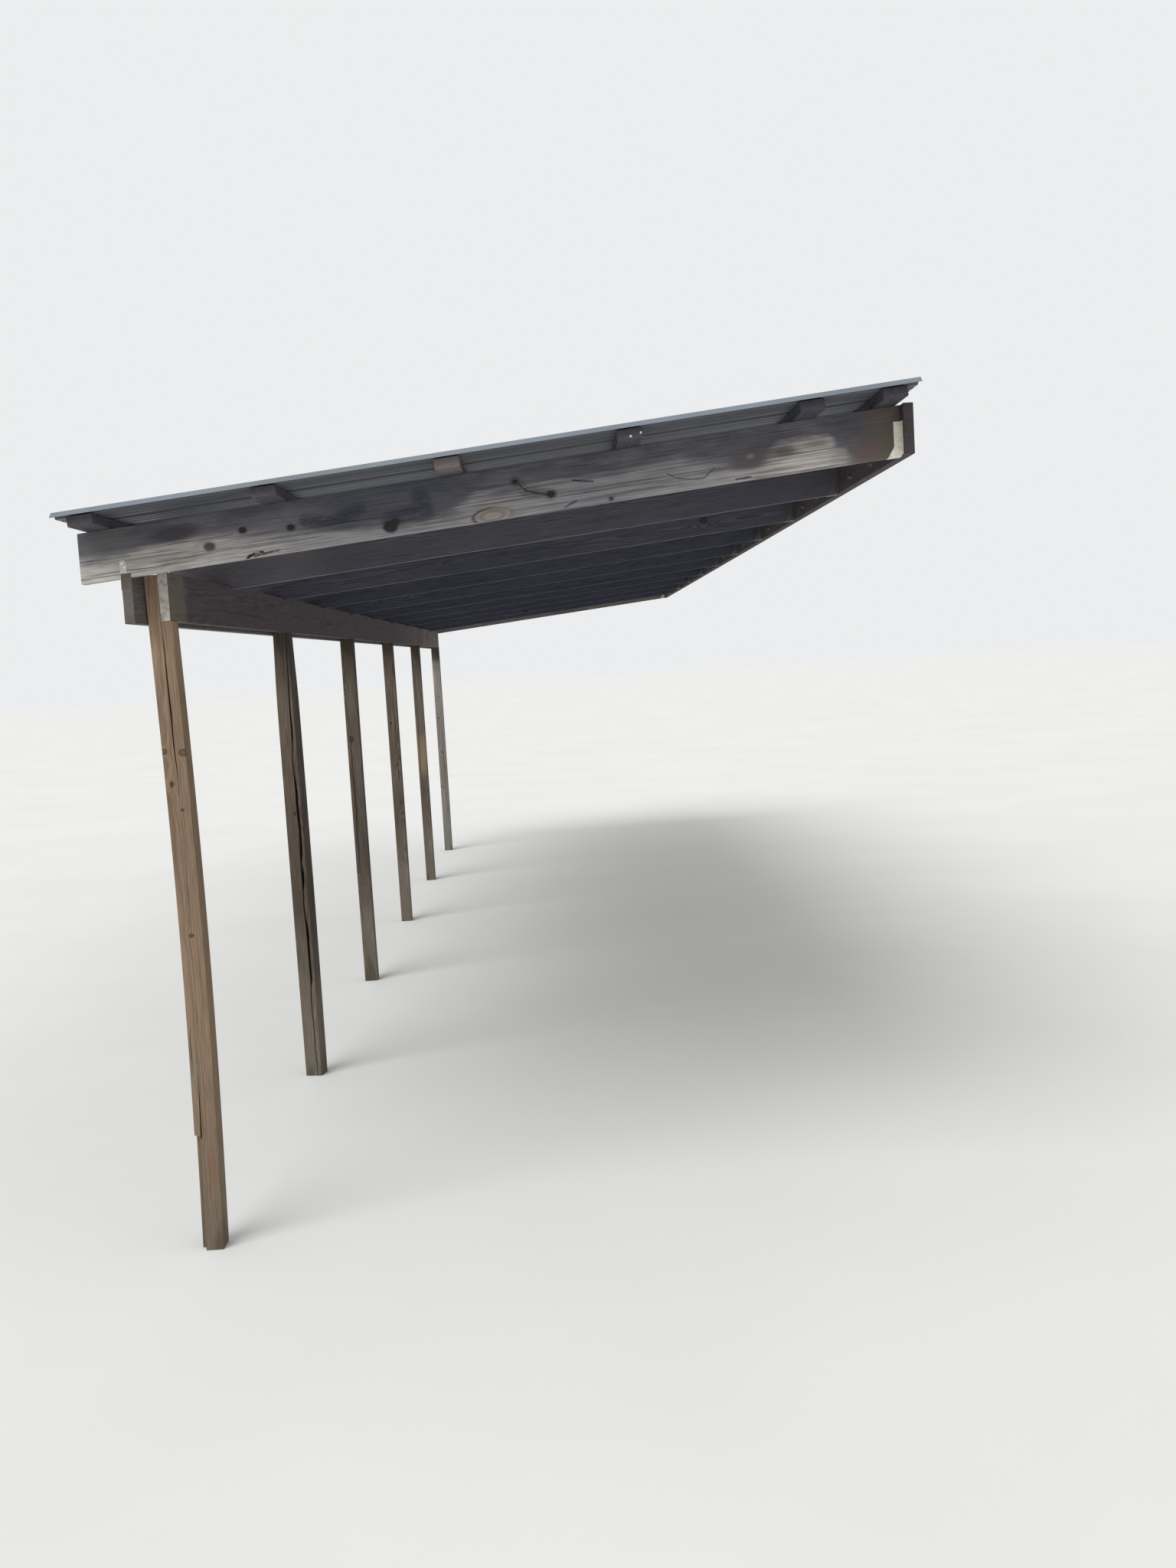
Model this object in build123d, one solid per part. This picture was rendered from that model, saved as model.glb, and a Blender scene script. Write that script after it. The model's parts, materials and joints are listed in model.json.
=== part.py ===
from build123d import *
import math
import os

# Lean-to carport: one row of posts carries a doubled beam, the rafters run
# from the beam up to a ledger on the wall, and flat purlins carry ribbed
# metal roofing.
# Frame: origin on the middle of the ledger's back face, +X into the wall,
# +Y along the wall, +Z up. All lengths in millimetres.

# Lumber sections
BOARD_T = 38.0
BOARD_H = 184.0
POST_W = 89.0
PURLIN_W = 89.0
PURLIN_T = 38.0

# Layout across the building
ROOF_PITCH_DEG = 5.5
RAFTER_LENGTH = 3048.0
TAIL_PAST_POST = 229.0
EAVE_PURLIN_IN = 35.0
PURLIN_STEP = 650.0
HEAD_PURLIN_OFF_LEDGER = 15.0
SHEET_PAST_RAFTER = 18.0
SHEET_OFF_WALL = 10.0
CLEAR_UNDER_BEAM = 2460.0

# Layout along the wall
RAFTER_COUNT = 11
RAFTER_PITCH = 1219.2
POST_COUNT = 6
BEAM_PAST_POST = 150.0
LEDGER_PAST_RAFTER = 45.0
LEDGER_BOARDS = 3
PURLIN_PAST_RAFTER = 200.0
SHEET_PAST_PURLIN = 25.0
BUTT_GAP = 2.0
BAYS_PER_BOARD = 4

# Level seats cut into the rafters for the beams and the post heads
SEAT_DEPTH = 14.0

# Roofing sheet: ribs run down the slope
SHEET_T = 0.5
BAYS_PER_SHEET = 4
RIB_PITCH = 228.6
RIB_HEIGHT = 19.0
RIB_BASE_HALF = 32.0
RIB_TOP_HALF = 10.0
BEAD_HEIGHT = 3.0
BEAD_BASE_HALF = 9.0
BEAD_TOP_HALF = 4.0
BEAD_FROM_RIB = 81.0
LAP_CLEAR = 0.1

# Folded steel fittings
STEEL_T = 1.2
HANGER_HEIGHT = 125.0
HANGER_SEAT = 50.0
HANGER_SIDE = 27.0
HANGER_RAMP = 34.0
HANGER_FLANGE = 30.0
HANGER_FLANGE_UP = 4.0
TIE_WIDTH = 23.0
TIE_UP = 48.0
TIE_DOWN = 60.0
TIE_LEG = 34.0
TIE_CORNER = 6.0
TIE_UNDER_RAFTER = 1.0

# How far cutting blocks run past the face they cut
CUT_OVER = 5.0

# Derived values
SLOPE = math.tan(math.radians(ROOF_PITCH_DEG))
COS_P = math.cos(math.radians(ROOF_PITCH_DEG))
PLUMB_H = BOARD_H / COS_P
LEDGER_FACE_X = -BOARD_T
RAFTER_TIP_X = LEDGER_FACE_X - RAFTER_LENGTH * COS_P
POST_X = RAFTER_TIP_X + TAIL_PAST_POST
POST_IN_X = POST_X + POST_W / 2
POST_OUT_X = POST_X - POST_W / 2
OUTER_FACE_X = POST_OUT_X - BOARD_T
RAFTER_TOP_AT_LEDGER = BOARD_H / 2
FRAME_LEN = (RAFTER_COUNT - 1) * RAFTER_PITCH + BOARD_T
POST_ROW_LEN = FRAME_LEN - 2 * BEAM_PAST_POST
POST_PITCH = (POST_ROW_LEN - POST_W) / (POST_COUNT - 1)


def rafter_top(x):
    return RAFTER_TOP_AT_LEDGER + (x - LEDGER_FACE_X) * SLOPE


def rafter_bottom(x):
    return rafter_top(x) - PLUMB_H


INNER_TOP = rafter_bottom(POST_IN_X) + SEAT_DEPTH
OUTER_TOP = rafter_bottom(POST_OUT_X) + SEAT_DEPTH
INNER_BOTTOM = INNER_TOP - BOARD_H
OUTER_BOTTOM = OUTER_TOP - BOARD_H
POST_FOOT = INNER_BOTTOM - CLEAR_UNDER_BEAM
POST_TOP = OUTER_TOP

POST_YS = [-POST_ROW_LEN / 2 + POST_W / 2 + i * POST_PITCH for i in range(POST_COUNT)]
RAFTER_YS = [(i - (RAFTER_COUNT - 1) / 2) * RAFTER_PITCH for i in range(RAFTER_COUNT)]

os.makedirs("parts", exist_ok=True)


def box(x0, x1, y0, y1, z0, z1):
    solid = Box(x1 - x0, y1 - y0, z1 - z0)
    return Pos((x0 + x1) / 2, (y0 + y1) / 2, (z0 + z1) / 2) * solid


def slab(points, y0, y1):
    # outline in the X-Z plane, extruded along Y
    face = make_face(Polyline([(x, 0, z) for x, z in points], close=True))
    return Pos(0, y0, 0) * extrude(face, amount=y1 - y0, dir=(0, 1, 0))


def save(shape, name):
    export_step(shape, "parts/" + name + ".step")


# Posts: square timber, the inner half of the head cut back for the inner beam
def post(y):
    y0 = y - POST_W / 2
    y1 = y + POST_W / 2
    stick = box(POST_OUT_X, POST_IN_X, y0, y1, POST_FOOT, POST_TOP)
    notch = box(POST_IN_X - BOARD_T, POST_IN_X + CUT_OVER, y0 - CUT_OVER, y1 + CUT_OVER,
                INNER_BOTTOM, POST_TOP + CUT_OVER)
    return stick - notch


for i, y in enumerate(POST_YS):
    save(post(y), "post_%d" % (i + 1))


# Beams: boards butted on the middle of a post, joints staggered
def board_run(name, x0, x1, z0, z1, ends):
    for i in range(len(ends) - 1):
        save(box(x0, x1, ends[i], ends[i + 1], z0, z1), "%s_%d" % (name, i + 1))


BEAM_END = FRAME_LEN / 2
INNER_END = POST_ROW_LEN / 2
board_run("outer_beam", OUTER_FACE_X, POST_OUT_X, OUTER_BOTTOM, OUTER_TOP,
          [-BEAM_END] + POST_YS[2:-1:2] + [BEAM_END])
board_run("inner_beam", POST_IN_X - BOARD_T, POST_IN_X, INNER_BOTTOM, INNER_TOP,
          [-INNER_END] + POST_YS[1:-1:2] + [INNER_END])

# Ledger on the wall
LEDGER_END = BEAM_END + LEDGER_PAST_RAFTER
board_run("ledger", LEDGER_FACE_X, 0.0, -BOARD_H / 2, BOARD_H / 2,
          [LEDGER_END * (2 * k / LEDGER_BOARDS - 1) for k in range(LEDGER_BOARDS + 1)])


# Rafters: plumb cut at both ends, level seats cut over the beams
def rafter(y, on_inner_beam):
    outline = [
        (RAFTER_TIP_X, rafter_bottom(RAFTER_TIP_X)),
        (LEDGER_FACE_X, rafter_bottom(LEDGER_FACE_X)),
        (LEDGER_FACE_X, rafter_top(LEDGER_FACE_X)),
        (RAFTER_TIP_X, rafter_top(RAFTER_TIP_X)),
    ]
    stick = slab(outline, y - BOARD_T / 2, y + BOARD_T / 2)
    if on_inner_beam:
        step_x = POST_IN_X - BOARD_T
        seats = [(OUTER_FACE_X, step_x, OUTER_TOP), (step_x, POST_IN_X, INNER_TOP)]
    else:
        seats = [(OUTER_FACE_X, POST_OUT_X, OUTER_TOP)]
    for x0, x1, z in seats:
        stick -= box(x0, x1, y - BOARD_T, y + BOARD_T, z - BOARD_T, z)
    return stick


for i, y in enumerate(RAFTER_YS):
    save(rafter(y, abs(y) < INNER_END), "rafter_%d" % (i + 1))


# Purlins: boards laid flat on the rafters, joints over a rafter and staggered
PURLIN_END = BEAM_END + PURLIN_PAST_RAFTER


def flat_board(x_mid, y0, y1):
    half = PURLIN_W / 2
    outline = []
    for dx, dz in ((-half, 0), (half, 0), (half, PURLIN_T), (-half, PURLIN_T)):
        x = x_mid + dx * COS_P - dz * math.sin(math.radians(ROOF_PITCH_DEG))
        z = rafter_top(x_mid) + dx * COS_P * SLOPE + dz * COS_P
        outline.append((x, z))
    return slab(outline, y0, y1)


PURLIN_XS = []
eave_x = RAFTER_TIP_X + EAVE_PURLIN_IN + PURLIN_W / 2
head_x = LEDGER_FACE_X - HEAD_PURLIN_OFF_LEDGER - PURLIN_W / 2
while eave_x + len(PURLIN_XS) * PURLIN_STEP < head_x - PURLIN_W - PURLIN_T:
    PURLIN_XS.append(eave_x + len(PURLIN_XS) * PURLIN_STEP)
PURLIN_XS.append(head_x)

for i, x in enumerate(PURLIN_XS):
    first = BAYS_PER_BOARD - 1 if i % 2 == 0 else 1
    cuts = [-PURLIN_END] + RAFTER_YS[first:-1:BAYS_PER_BOARD] + [PURLIN_END]
    boards = []
    for k in range(len(cuts) - 1):
        y0 = cuts[k] + (BUTT_GAP / 2 if k > 0 else 0)
        y1 = cuts[k + 1] - (BUTT_GAP / 2 if k < len(cuts) - 2 else 0)
        boards.append(flat_board(x, y0, y1))
    save(Compound(boards), "purlin_%d" % (i + 1))


# Roofing: one folded profile per sheet, each sheet's last rib laps the next
SHEET_LOW_X = RAFTER_TIP_X - SHEET_PAST_RAFTER
SHEET_HIGH_X = -SHEET_OFF_WALL
LEG = math.atan2(RIB_HEIGHT, RIB_BASE_HALF - RIB_TOP_HALF)
ROOF_END = PURLIN_END + SHEET_PAST_PURLIN
FIRST_RIB = -ROOF_END + RIB_BASE_HALF
SHEET_COVER = BAYS_PER_SHEET * RIB_PITCH


def rib(c):
    return [(c - RIB_BASE_HALF, 0), (c - RIB_TOP_HALF, RIB_HEIGHT),
            (c + RIB_TOP_HALF, RIB_HEIGHT), (c + RIB_BASE_HALF, 0)]


def bead(c):
    return [(c - BEAD_BASE_HALF, 0), (c - BEAD_TOP_HALF, BEAD_HEIGHT),
            (c + BEAD_TOP_HALF, BEAD_HEIGHT), (c + BEAD_BASE_HALF, 0)]


def lap_rib(c):
    d = SHEET_T + LAP_CLEAR
    base = RIB_BASE_HALF + d / math.sin(LEG)
    top = RIB_TOP_HALF + d * math.tan(LEG / 2)
    end = d + LAP_CLEAR
    return [(c - base, 0), (c - top, RIB_HEIGHT + d), (c + top, RIB_HEIGHT + d),
            (c + base - end / math.tan(LEG), end)]


def bay(c):
    return bead(c + BEAD_FROM_RIB) + bead(c + RIB_PITCH - BEAD_FROM_RIB)


def thicken(points, t):
    # offset a folded line to its upper side by t, mitred at the folds
    upper = []
    for i, (y, z) in enumerate(points):
        normals = []
        for a, b in ((i - 1, i), (i, i + 1)):
            if a < 0 or b >= len(points):
                continue
            dy = points[b][0] - points[a][0]
            dz = points[b][1] - points[a][1]
            n = math.hypot(dy, dz)
            normals.append((-dz / n, dy / n))
        ny = sum(v[0] for v in normals) / len(normals)
        nz = sum(v[1] for v in normals) / len(normals)
        s = t / (ny * ny + nz * nz)
        upper.append((y + ny * s, z + nz * s))
    return points + upper[::-1]


def trim(points, end):
    # cut a folded line where it passes the roof's far edge
    kept = [points[0]]
    for (ya, za), (yb, zb) in zip(points, points[1:]):
        if yb >= end:
            kept.append((end, za + (zb - za) * (end - ya) / (yb - ya)))
            break
        kept.append((yb, zb))
    return kept


def sheet(c):
    line = rib(c)
    for k in range(BAYS_PER_SHEET):
        line += bay(c + k * RIB_PITCH)
        if k < BAYS_PER_SHEET - 1:
            line += rib(c + (k + 1) * RIB_PITCH)
    line = trim(line + lap_rib(c + SHEET_COVER), ROOF_END)
    lift = PURLIN_T / COS_P
    x0, x1 = SHEET_LOW_X, SHEET_HIGH_X
    outline = [(x0, y, rafter_top(x0) + lift + z / COS_P) for y, z in thicken(line, SHEET_T)]
    face = make_face(Polyline(outline, close=True))
    return extrude(face, amount=(x1 - x0) / COS_P, dir=(COS_P, 0, COS_P * SLOPE))


sheets = []
while FIRST_RIB + len(sheets) * SHEET_COVER + 2 * RIB_BASE_HALF < ROOF_END:
    sheets.append(sheet(FIRST_RIB + len(sheets) * SHEET_COVER))
save(Compound(sheets[0::2]), "roof_sheets_lower")
save(Compound(sheets[1::2]), "roof_sheets_upper")


# Hangers: folded stirrups that carry the rafters' upper ends on the ledger
def hanger(y):
    x0 = LEDGER_FACE_X
    z0 = rafter_bottom(x0)
    half = BOARD_T / 2
    side = [
        (x0, z0 - STEEL_T),
        (x0, z0 + HANGER_HEIGHT),
        (x0 - HANGER_SIDE, z0 + HANGER_HEIGHT),
        (x0 - HANGER_SIDE, z0 + HANGER_RAMP),
        (x0 - HANGER_SEAT, rafter_bottom(x0 - HANGER_SEAT) + STEEL_T),
        (x0 - HANGER_SEAT, rafter_bottom(x0 - HANGER_SEAT) - STEEL_T),
    ]
    seat = [
        (x0, z0 - STEEL_T),
        (x0, z0),
        (x0 - HANGER_SEAT, rafter_bottom(x0 - HANGER_SEAT)),
        (x0 - HANGER_SEAT, rafter_bottom(x0 - HANGER_SEAT) - STEEL_T),
    ]
    body = slab(seat, y - half - STEEL_T, y + half + STEEL_T)
    for s in (-1, 1):
        a = y + s * half
        b = y + s * (half + STEEL_T)
        c = y + s * (half + HANGER_FLANGE)
        body += slab(side, min(a, b), max(a, b))
        body += box(x0 - STEEL_T, x0, min(a, c), max(a, c), z0 + HANGER_FLANGE_UP, z0 + HANGER_HEIGHT)
    return body


save(Compound([hanger(y) for y in RAFTER_YS]), "rafter_hangers")


# Ties: a tab on the rafter's side over the beam, folded round onto the beam's face
def tie(y, side, leg_side):
    face = y + side * BOARD_T / 2
    out = face + side * STEEL_T
    x0 = OUTER_FACE_X - STEEL_T
    x1 = OUTER_FACE_X
    x2 = x1 + TIE_WIDTH
    foot = OUTER_TOP - TIE_DOWN
    head = OUTER_TOP + TIE_UP
    tab = slab([(x0, foot), (x1, foot), (x1, OUTER_TOP), (x2, OUTER_TOP), (x2, head - TIE_CORNER),
                (x2 - TIE_CORNER, head), (x0 + TIE_CORNER, head), (x0, head - TIE_CORNER)],
               min(face, out), max(face, out))
    if leg_side == side:
        start, leg_top = face, OUTER_TOP
    else:
        start, leg_top = out, rafter_bottom(x0) - TIE_UNDER_RAFTER
    end = start + leg_side * TIE_LEG
    return tab + box(x0, x1, min(start, end), max(start, end), foot, leg_top)


ties = []
for i, y in enumerate(RAFTER_YS):
    if i == 0:
        ties.append(tie(y, -1, 1))
    elif i == RAFTER_COUNT - 1:
        ties.append(tie(y, 1, -1))
    else:
        ties.append(tie(y, -1, -1))
save(Compound(ties), "rafter_ties")
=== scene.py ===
import json
import math
import random

import bmesh
import bpy
from bpy.props import FloatProperty, FloatVectorProperty, PointerProperty
from mathutils import Matrix, Vector

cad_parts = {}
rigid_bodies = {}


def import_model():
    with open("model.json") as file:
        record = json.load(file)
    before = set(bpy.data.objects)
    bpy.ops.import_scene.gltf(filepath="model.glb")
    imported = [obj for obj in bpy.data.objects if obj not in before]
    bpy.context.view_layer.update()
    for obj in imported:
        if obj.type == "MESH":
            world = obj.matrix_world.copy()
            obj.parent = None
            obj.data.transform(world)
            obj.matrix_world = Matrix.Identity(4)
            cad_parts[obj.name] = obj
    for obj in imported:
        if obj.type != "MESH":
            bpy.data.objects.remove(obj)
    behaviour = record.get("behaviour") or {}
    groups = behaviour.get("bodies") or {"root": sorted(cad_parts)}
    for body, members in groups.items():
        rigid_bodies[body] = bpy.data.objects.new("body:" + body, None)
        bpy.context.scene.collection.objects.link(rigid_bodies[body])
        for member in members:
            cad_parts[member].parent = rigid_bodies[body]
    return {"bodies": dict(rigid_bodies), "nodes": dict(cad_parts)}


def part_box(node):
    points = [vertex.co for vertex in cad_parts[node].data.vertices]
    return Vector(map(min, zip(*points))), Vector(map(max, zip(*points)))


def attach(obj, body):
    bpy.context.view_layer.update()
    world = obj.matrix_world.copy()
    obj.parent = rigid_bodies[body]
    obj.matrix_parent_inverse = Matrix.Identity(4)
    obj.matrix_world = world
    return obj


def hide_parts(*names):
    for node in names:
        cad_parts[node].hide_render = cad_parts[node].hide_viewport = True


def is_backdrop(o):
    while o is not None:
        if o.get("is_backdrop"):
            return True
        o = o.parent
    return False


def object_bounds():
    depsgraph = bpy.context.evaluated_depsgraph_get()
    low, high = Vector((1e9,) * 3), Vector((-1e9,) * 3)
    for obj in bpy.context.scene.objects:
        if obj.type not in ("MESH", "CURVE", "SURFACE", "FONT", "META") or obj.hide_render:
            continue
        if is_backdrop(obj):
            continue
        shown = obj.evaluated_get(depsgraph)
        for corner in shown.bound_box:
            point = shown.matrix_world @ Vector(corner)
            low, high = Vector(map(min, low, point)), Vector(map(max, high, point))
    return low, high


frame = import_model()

bl_info = {
    "name": "Lean-to Carport",
    "version": (1, 0, 0),
    "blender": (4, 5, 0),
    "location": "View3D > Sidebar > Carport",
    "description": "Weathered timber, ribbed roofing and fixings of a lean-to carport",
    "category": "Object",
}

X, Y, Z = Vector((1, 0, 0)), Vector((0, 1, 0)), Vector((0, 0, 1))

# Boards, folded steel and roofing, in metres
BOARD = 0.038
BOARD_DEPTH = 0.184
STEEL = 0.0012
SHEET_STEEL = 0.0005
RIB_PITCH = 0.2286
RIB_HALF = 0.032
ROOF_END = 6.34
PURLIN_STEP = 0.65
RAFTER_COUNT = 11

# The roof plane: the rafters' tops leave the ledger's face at this height and pitch
PITCH = math.radians(5.5)
RISE = math.tan(PITCH)
LEDGER_FACE = -BOARD
RAFTER_TOP_AT_LEDGER = BOARD_DEPTH / 2
UP_ROOF = Vector((math.cos(PITCH), 0, math.sin(PITCH)))
ROOF_NORMAL = Vector((-math.sin(PITCH), 0, math.cos(PITCH)))
PLUMB_HEIGHT = BOARD_DEPTH / math.cos(PITCH)
# Height of the rafters' lower edge, where it would meet x = 0
UNDERSIDE = RAFTER_TOP_AT_LEDGER - LEDGER_FACE * RISE - PLUMB_HEIGHT

# Each kind of board: along its grain, across its wide face, through it
AXES = {
    "post": (Z, Y, X),
    "beam": (Y, Z, X),
    "rafter": (UP_ROOF, ROOF_NORMAL, Y),
    "purlin": (Y, UP_ROOF, ROOF_NORMAL),
}

POSTS = sorted(n for n in frame["nodes"] if n.startswith("post_"))
RAFTERS = ["rafter_%d" % (i + 1) for i in range(RAFTER_COUNT)]
PURLINS = sorted(n for n in frame["nodes"] if n.startswith("purlin_"))
BEAMS = sorted(n for n in frame["nodes"] if "_beam_" in n)
LEDGER = sorted(n for n in frame["nodes"] if n.startswith("ledger_"))
SHEETS = sorted(n for n in frame["nodes"] if n.startswith("roof_sheets"))

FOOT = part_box(POSTS[0])[0].z
NEAR_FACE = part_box(RAFTERS[0])[0].y

# Spans that the curves of shade and weather are drawn over
POST_SPAN = (FOOT, -0.3)
ROOF_SPAN = (-3.1, 0.0)

# Spacing of the posts' and purlins' cross cuts, the posts' heads that stay crisp, and where
# the first post and the rafters bow most, as a share of their length
POST_ROW, PURLIN_ROW, CRISP_HEAD = 0.05, 0.12, 0.02
POST_BOW_PEAK, RAFTER_BOW_PEAK = 0.48, 0.4

# Each group of pieces has its own random draws
POST_SEED, BEAM_SEED, RAFTER_SEED, PURLIN_SEED, FIXING_SEED = 100, 200, 300, 400, 500


def paint(red, green, blue):
    """A colour given from 0 to 255, as the linear values that a shader takes."""
    return tuple(
        c / 255 / 12.92 if c <= 10 else ((c / 255 + 0.055) / 1.055) ** 2.4
        for c in (red, green, blue)
    )


def tone(base, share):
    """A darker or lighter tone of a colour."""
    return tuple(min(1, c * share) for c in base)


def centre(node):
    """The middle of a node's box."""
    low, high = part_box(node)
    return (low + high) / 2


# Settings


def length(label, words, metres):
    """A size that a user would change."""
    return FloatProperty(name=label, description=words, default=metres, min=0, unit="LENGTH")


def colour(label, words, value):
    """A colour that a user would change."""
    return FloatVectorProperty(name=label, description=words, default=value, min=0, max=1,
                               size=3, subtype="COLOR")


def strength(label, words, value):
    """A light's strength."""
    return FloatProperty(name=label, description=words, default=value, min=0)


class TimberSettings(bpy.types.PropertyGroup):
    ease: length("Edge wear", "Width worn off the boards' edges", 0.0025)
    bow: length("Bow", "How far the boards bend out of straight", 0.003)
    near_bow: length("First post's bow", "How far the first post bends inwards", 0.021)
    row: length("Row", "Spacing of the cross cuts that let a board bend", 0.09)
    tan: colour("Treated pine", "Posts where the treatment still shows", paint(140, 119, 99))
    ochre: colour("Latewood", "Darker rings of the treated pine", paint(106, 84, 64))
    grey: colour("Weathered", "Boards bleached by the weather", paint(146, 144, 139))
    brown: colour("Sheltered", "Boards under the roof", paint(86, 77, 79))
    slate: colour("Mildew", "Blue-black mildew on the weathered boards", paint(76, 76, 82))
    soil: colour("Soil stain", "Damp, dirty wood at the posts' feet", paint(96, 92, 78))


class RoofSettings(bpy.types.PropertyGroup):
    top: colour("Sheet", "Upper side of the roofing", paint(100, 108, 116))
    under: colour("Underside", "Wash coat under the roofing", paint(94, 97, 104))
    screw_off_rib: length("Screw off rib", "From a rib's middle to its screws", 0.05)


class StageSettings(bpy.types.PropertyGroup):
    floor: colour("Floor", "Plain studio floor", paint(226, 226, 224))
    backdrop: colour("Backdrop", "What the camera and gloss see", paint(236, 237, 238))
    sky: strength("Sky", "Strength of the even light", 0.62)
    key: strength("Key", "Strength of the soft key light", 1.9)
    fill: strength("Fill", "Strength of the fill light", 0.5)


# Materials


class Finish:
    """A node material while it is being put together."""

    def __init__(self, name, specular=0.3, metallic=0.0):
        self.material = bpy.data.materials.new(name)
        self.material.use_nodes = True
        self.tree = self.material.node_tree
        self.tree.nodes.clear()
        self.shader = self.node("ShaderNodeBsdfPrincipled")
        self.shader.inputs["Specular IOR Level"].default_value = specular
        self.shader.inputs["Metallic"].default_value = metallic
        out = self.node("ShaderNodeOutputMaterial")
        self.tree.links.new(self.shader.outputs[0], out.inputs[0])
        self.place = self.node("ShaderNodeTexCoord").outputs["Object"]
        self.x, self.y, self.z = self.split(self.place)

    def node(self, kind, **settings):
        made = self.tree.nodes.new(kind)
        for key, value in settings.items():
            setattr(made, key, value)
        return made

    def put(self, socket, value):
        """Links or sets a socket, and gives a colour of three numbers its fourth."""
        if isinstance(value, bpy.types.NodeSocket):
            self.tree.links.new(value, socket)
        elif hasattr(value, "__len__") and len(value) == 3 and len(socket.default_value) == 4:
            socket.default_value = (*value, 1)
        else:
            socket.default_value = value

    def math(self, operation, *values):
        made = self.node("ShaderNodeMath", operation=operation)
        for socket, value in zip(made.inputs, values):
            self.put(socket, value)
        return made.outputs[0]

    def times(self, first, *others):
        for other in others:
            first = self.math("MULTIPLY", first, other)
        return first

    def plus(self, first, *others):
        for other in others:
            first = self.math("ADD", first, other)
        return first

    def minus(self, first, other):
        return self.math("SUBTRACT", first, other)

    def sway(self, noise, amount):
        """A noise from 0 to 1 as a push of up to half of amount either way."""
        return self.times(self.minus(noise, 0.5), amount)

    def vector(self, operation, *values):
        made = self.node("ShaderNodeVectorMath", operation=operation)
        for socket, value in zip(made.inputs, values):
            self.put(socket, value)
        return made.outputs["Value" if operation in ("LENGTH", "DOT_PRODUCT") else "Vector"]

    def split(self, vector):
        made = self.node("ShaderNodeSeparateXYZ")
        self.put(made.inputs[0], vector)
        return made.outputs[:]

    def join(self, x, y, z):
        made = self.node("ShaderNodeCombineXYZ")
        for socket, value in zip(made.inputs, (x, y, z)):
            self.put(socket, value)
        return made.outputs[0]

    def normal(self):
        """The way that the surface faces, as x, y and z."""
        return self.split(self.node("ShaderNodeNewGeometry").outputs["Normal"])

    def attribute(self, name, output):
        return self.node("ShaderNodeAttribute", attribute_name=name).outputs[output]

    def noise(self, vector, scale, detail=3.0, rough=0.55):
        """Noise on a vector stretched by scale, three numbers."""
        made = self.node("ShaderNodeTexNoise")
        self.put(made.inputs["Vector"], self.vector("MULTIPLY", vector, scale))
        made.inputs["Scale"].default_value = 1
        made.inputs["Detail"].default_value = detail
        made.inputs["Roughness"].default_value = rough
        return made.outputs[0]

    def cells(self, vector):
        """Scattered points, each with a Position and a Color of its own."""
        made = self.node("ShaderNodeTexVoronoi")
        self.put(made.inputs["Vector"], vector)
        made.inputs["Scale"].default_value = 1
        return made.outputs

    def step(self, value, low, high, first=0.0, last=1.0):
        """A smooth change from first to last while value goes from low to high."""
        made = self.node("ShaderNodeMapRange", interpolation_type="SMOOTHSTEP")
        for socket, number in zip(made.inputs, (value, low, high, first, last)):
            self.put(socket, number)
        return made.outputs[0]

    def mix(self, share, a, b, blend="MIX"):
        made = self.node("ShaderNodeMix", data_type="RGBA", blend_type=blend)
        for k, value in ((0, share), (6, a), (7, b)):
            self.put(made.inputs[k], value)
        return made.outputs[2]

    def curve(self, value, span, stops):
        """A line over a span through stops, (value, height) pairs with heights from 0 to 1."""
        low, high = span
        made = self.node("ShaderNodeValToRGB")
        self.put(made.inputs[0], self.math("DIVIDE", self.minus(value, low), high - low))
        ramp = made.color_ramp
        ramp.interpolation = "EASE"
        while len(ramp.elements) < len(stops):
            ramp.elements.new(0.5)
        for element, (at, height) in zip(ramp.elements, stops):
            element.position = (at - low) / (high - low)
            element.color = (height, height, height, 1)
        return made.outputs[0]

    def line(self, points, width, waver):
        """A drawn line through points: 1 on it and 0 at width away."""
        near = 0.0
        for a, b in zip(points, points[1:]):
            run = Vector(b) - Vector(a)
            start = self.vector("SUBTRACT", self.place, tuple(a))
            along = self.math("DIVIDE", self.vector("DOT_PRODUCT", start, tuple(run)),
                              run.length_squared)
            along = self.math("MINIMUM", self.math("MAXIMUM", along, 0), 1)
            off = self.vector("SUBTRACT", start, self.vector("MULTIPLY", tuple(run), along))
            gap = self.plus(self.vector("LENGTH", off), waver)
            near = self.math("MAXIMUM", near, self.step(gap, width * 0.35, width, 1, 0))
        return near

    def spot(self, middle, half_long, half_high, edge, waver=0.0):
        """A soft-edged oval that follows the roof slope: 1 inside and 0 outside."""
        x, y, z = self.split(self.vector("SUBTRACT", self.place, tuple(middle)))
        z = self.minus(z, self.times(x, RISE))
        oval = self.join(self.math("DIVIDE", x, half_long), self.math("DIVIDE", y, half_high),
                         self.math("DIVIDE", z, half_high))
        reach = self.plus(self.vector("LENGTH", oval), waver)
        return self.step(reach, 1 - edge, 1 + edge, 1, 0)

    def finish(self, base, roughness, bump=None, strength=0.0, distance=0.0):
        """Puts the colour, roughness and relief on the shader."""
        self.put(self.shader.inputs["Base Color"], base)
        self.put(self.shader.inputs["Roughness"], roughness)
        if bump is not None:
            made = self.node("ShaderNodeBump")
            made.inputs["Strength"].default_value = strength
            made.inputs["Distance"].default_value = distance
            self.put(made.inputs["Height"], bump)
            self.put(self.shader.inputs["Normal"], made.outputs[0])
        return self.material


# Scattered knots: cells to a metre across a log, and the draw below which a cell has none
KNOT_CELLS = 8.5
NO_KNOT = 0.42


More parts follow.
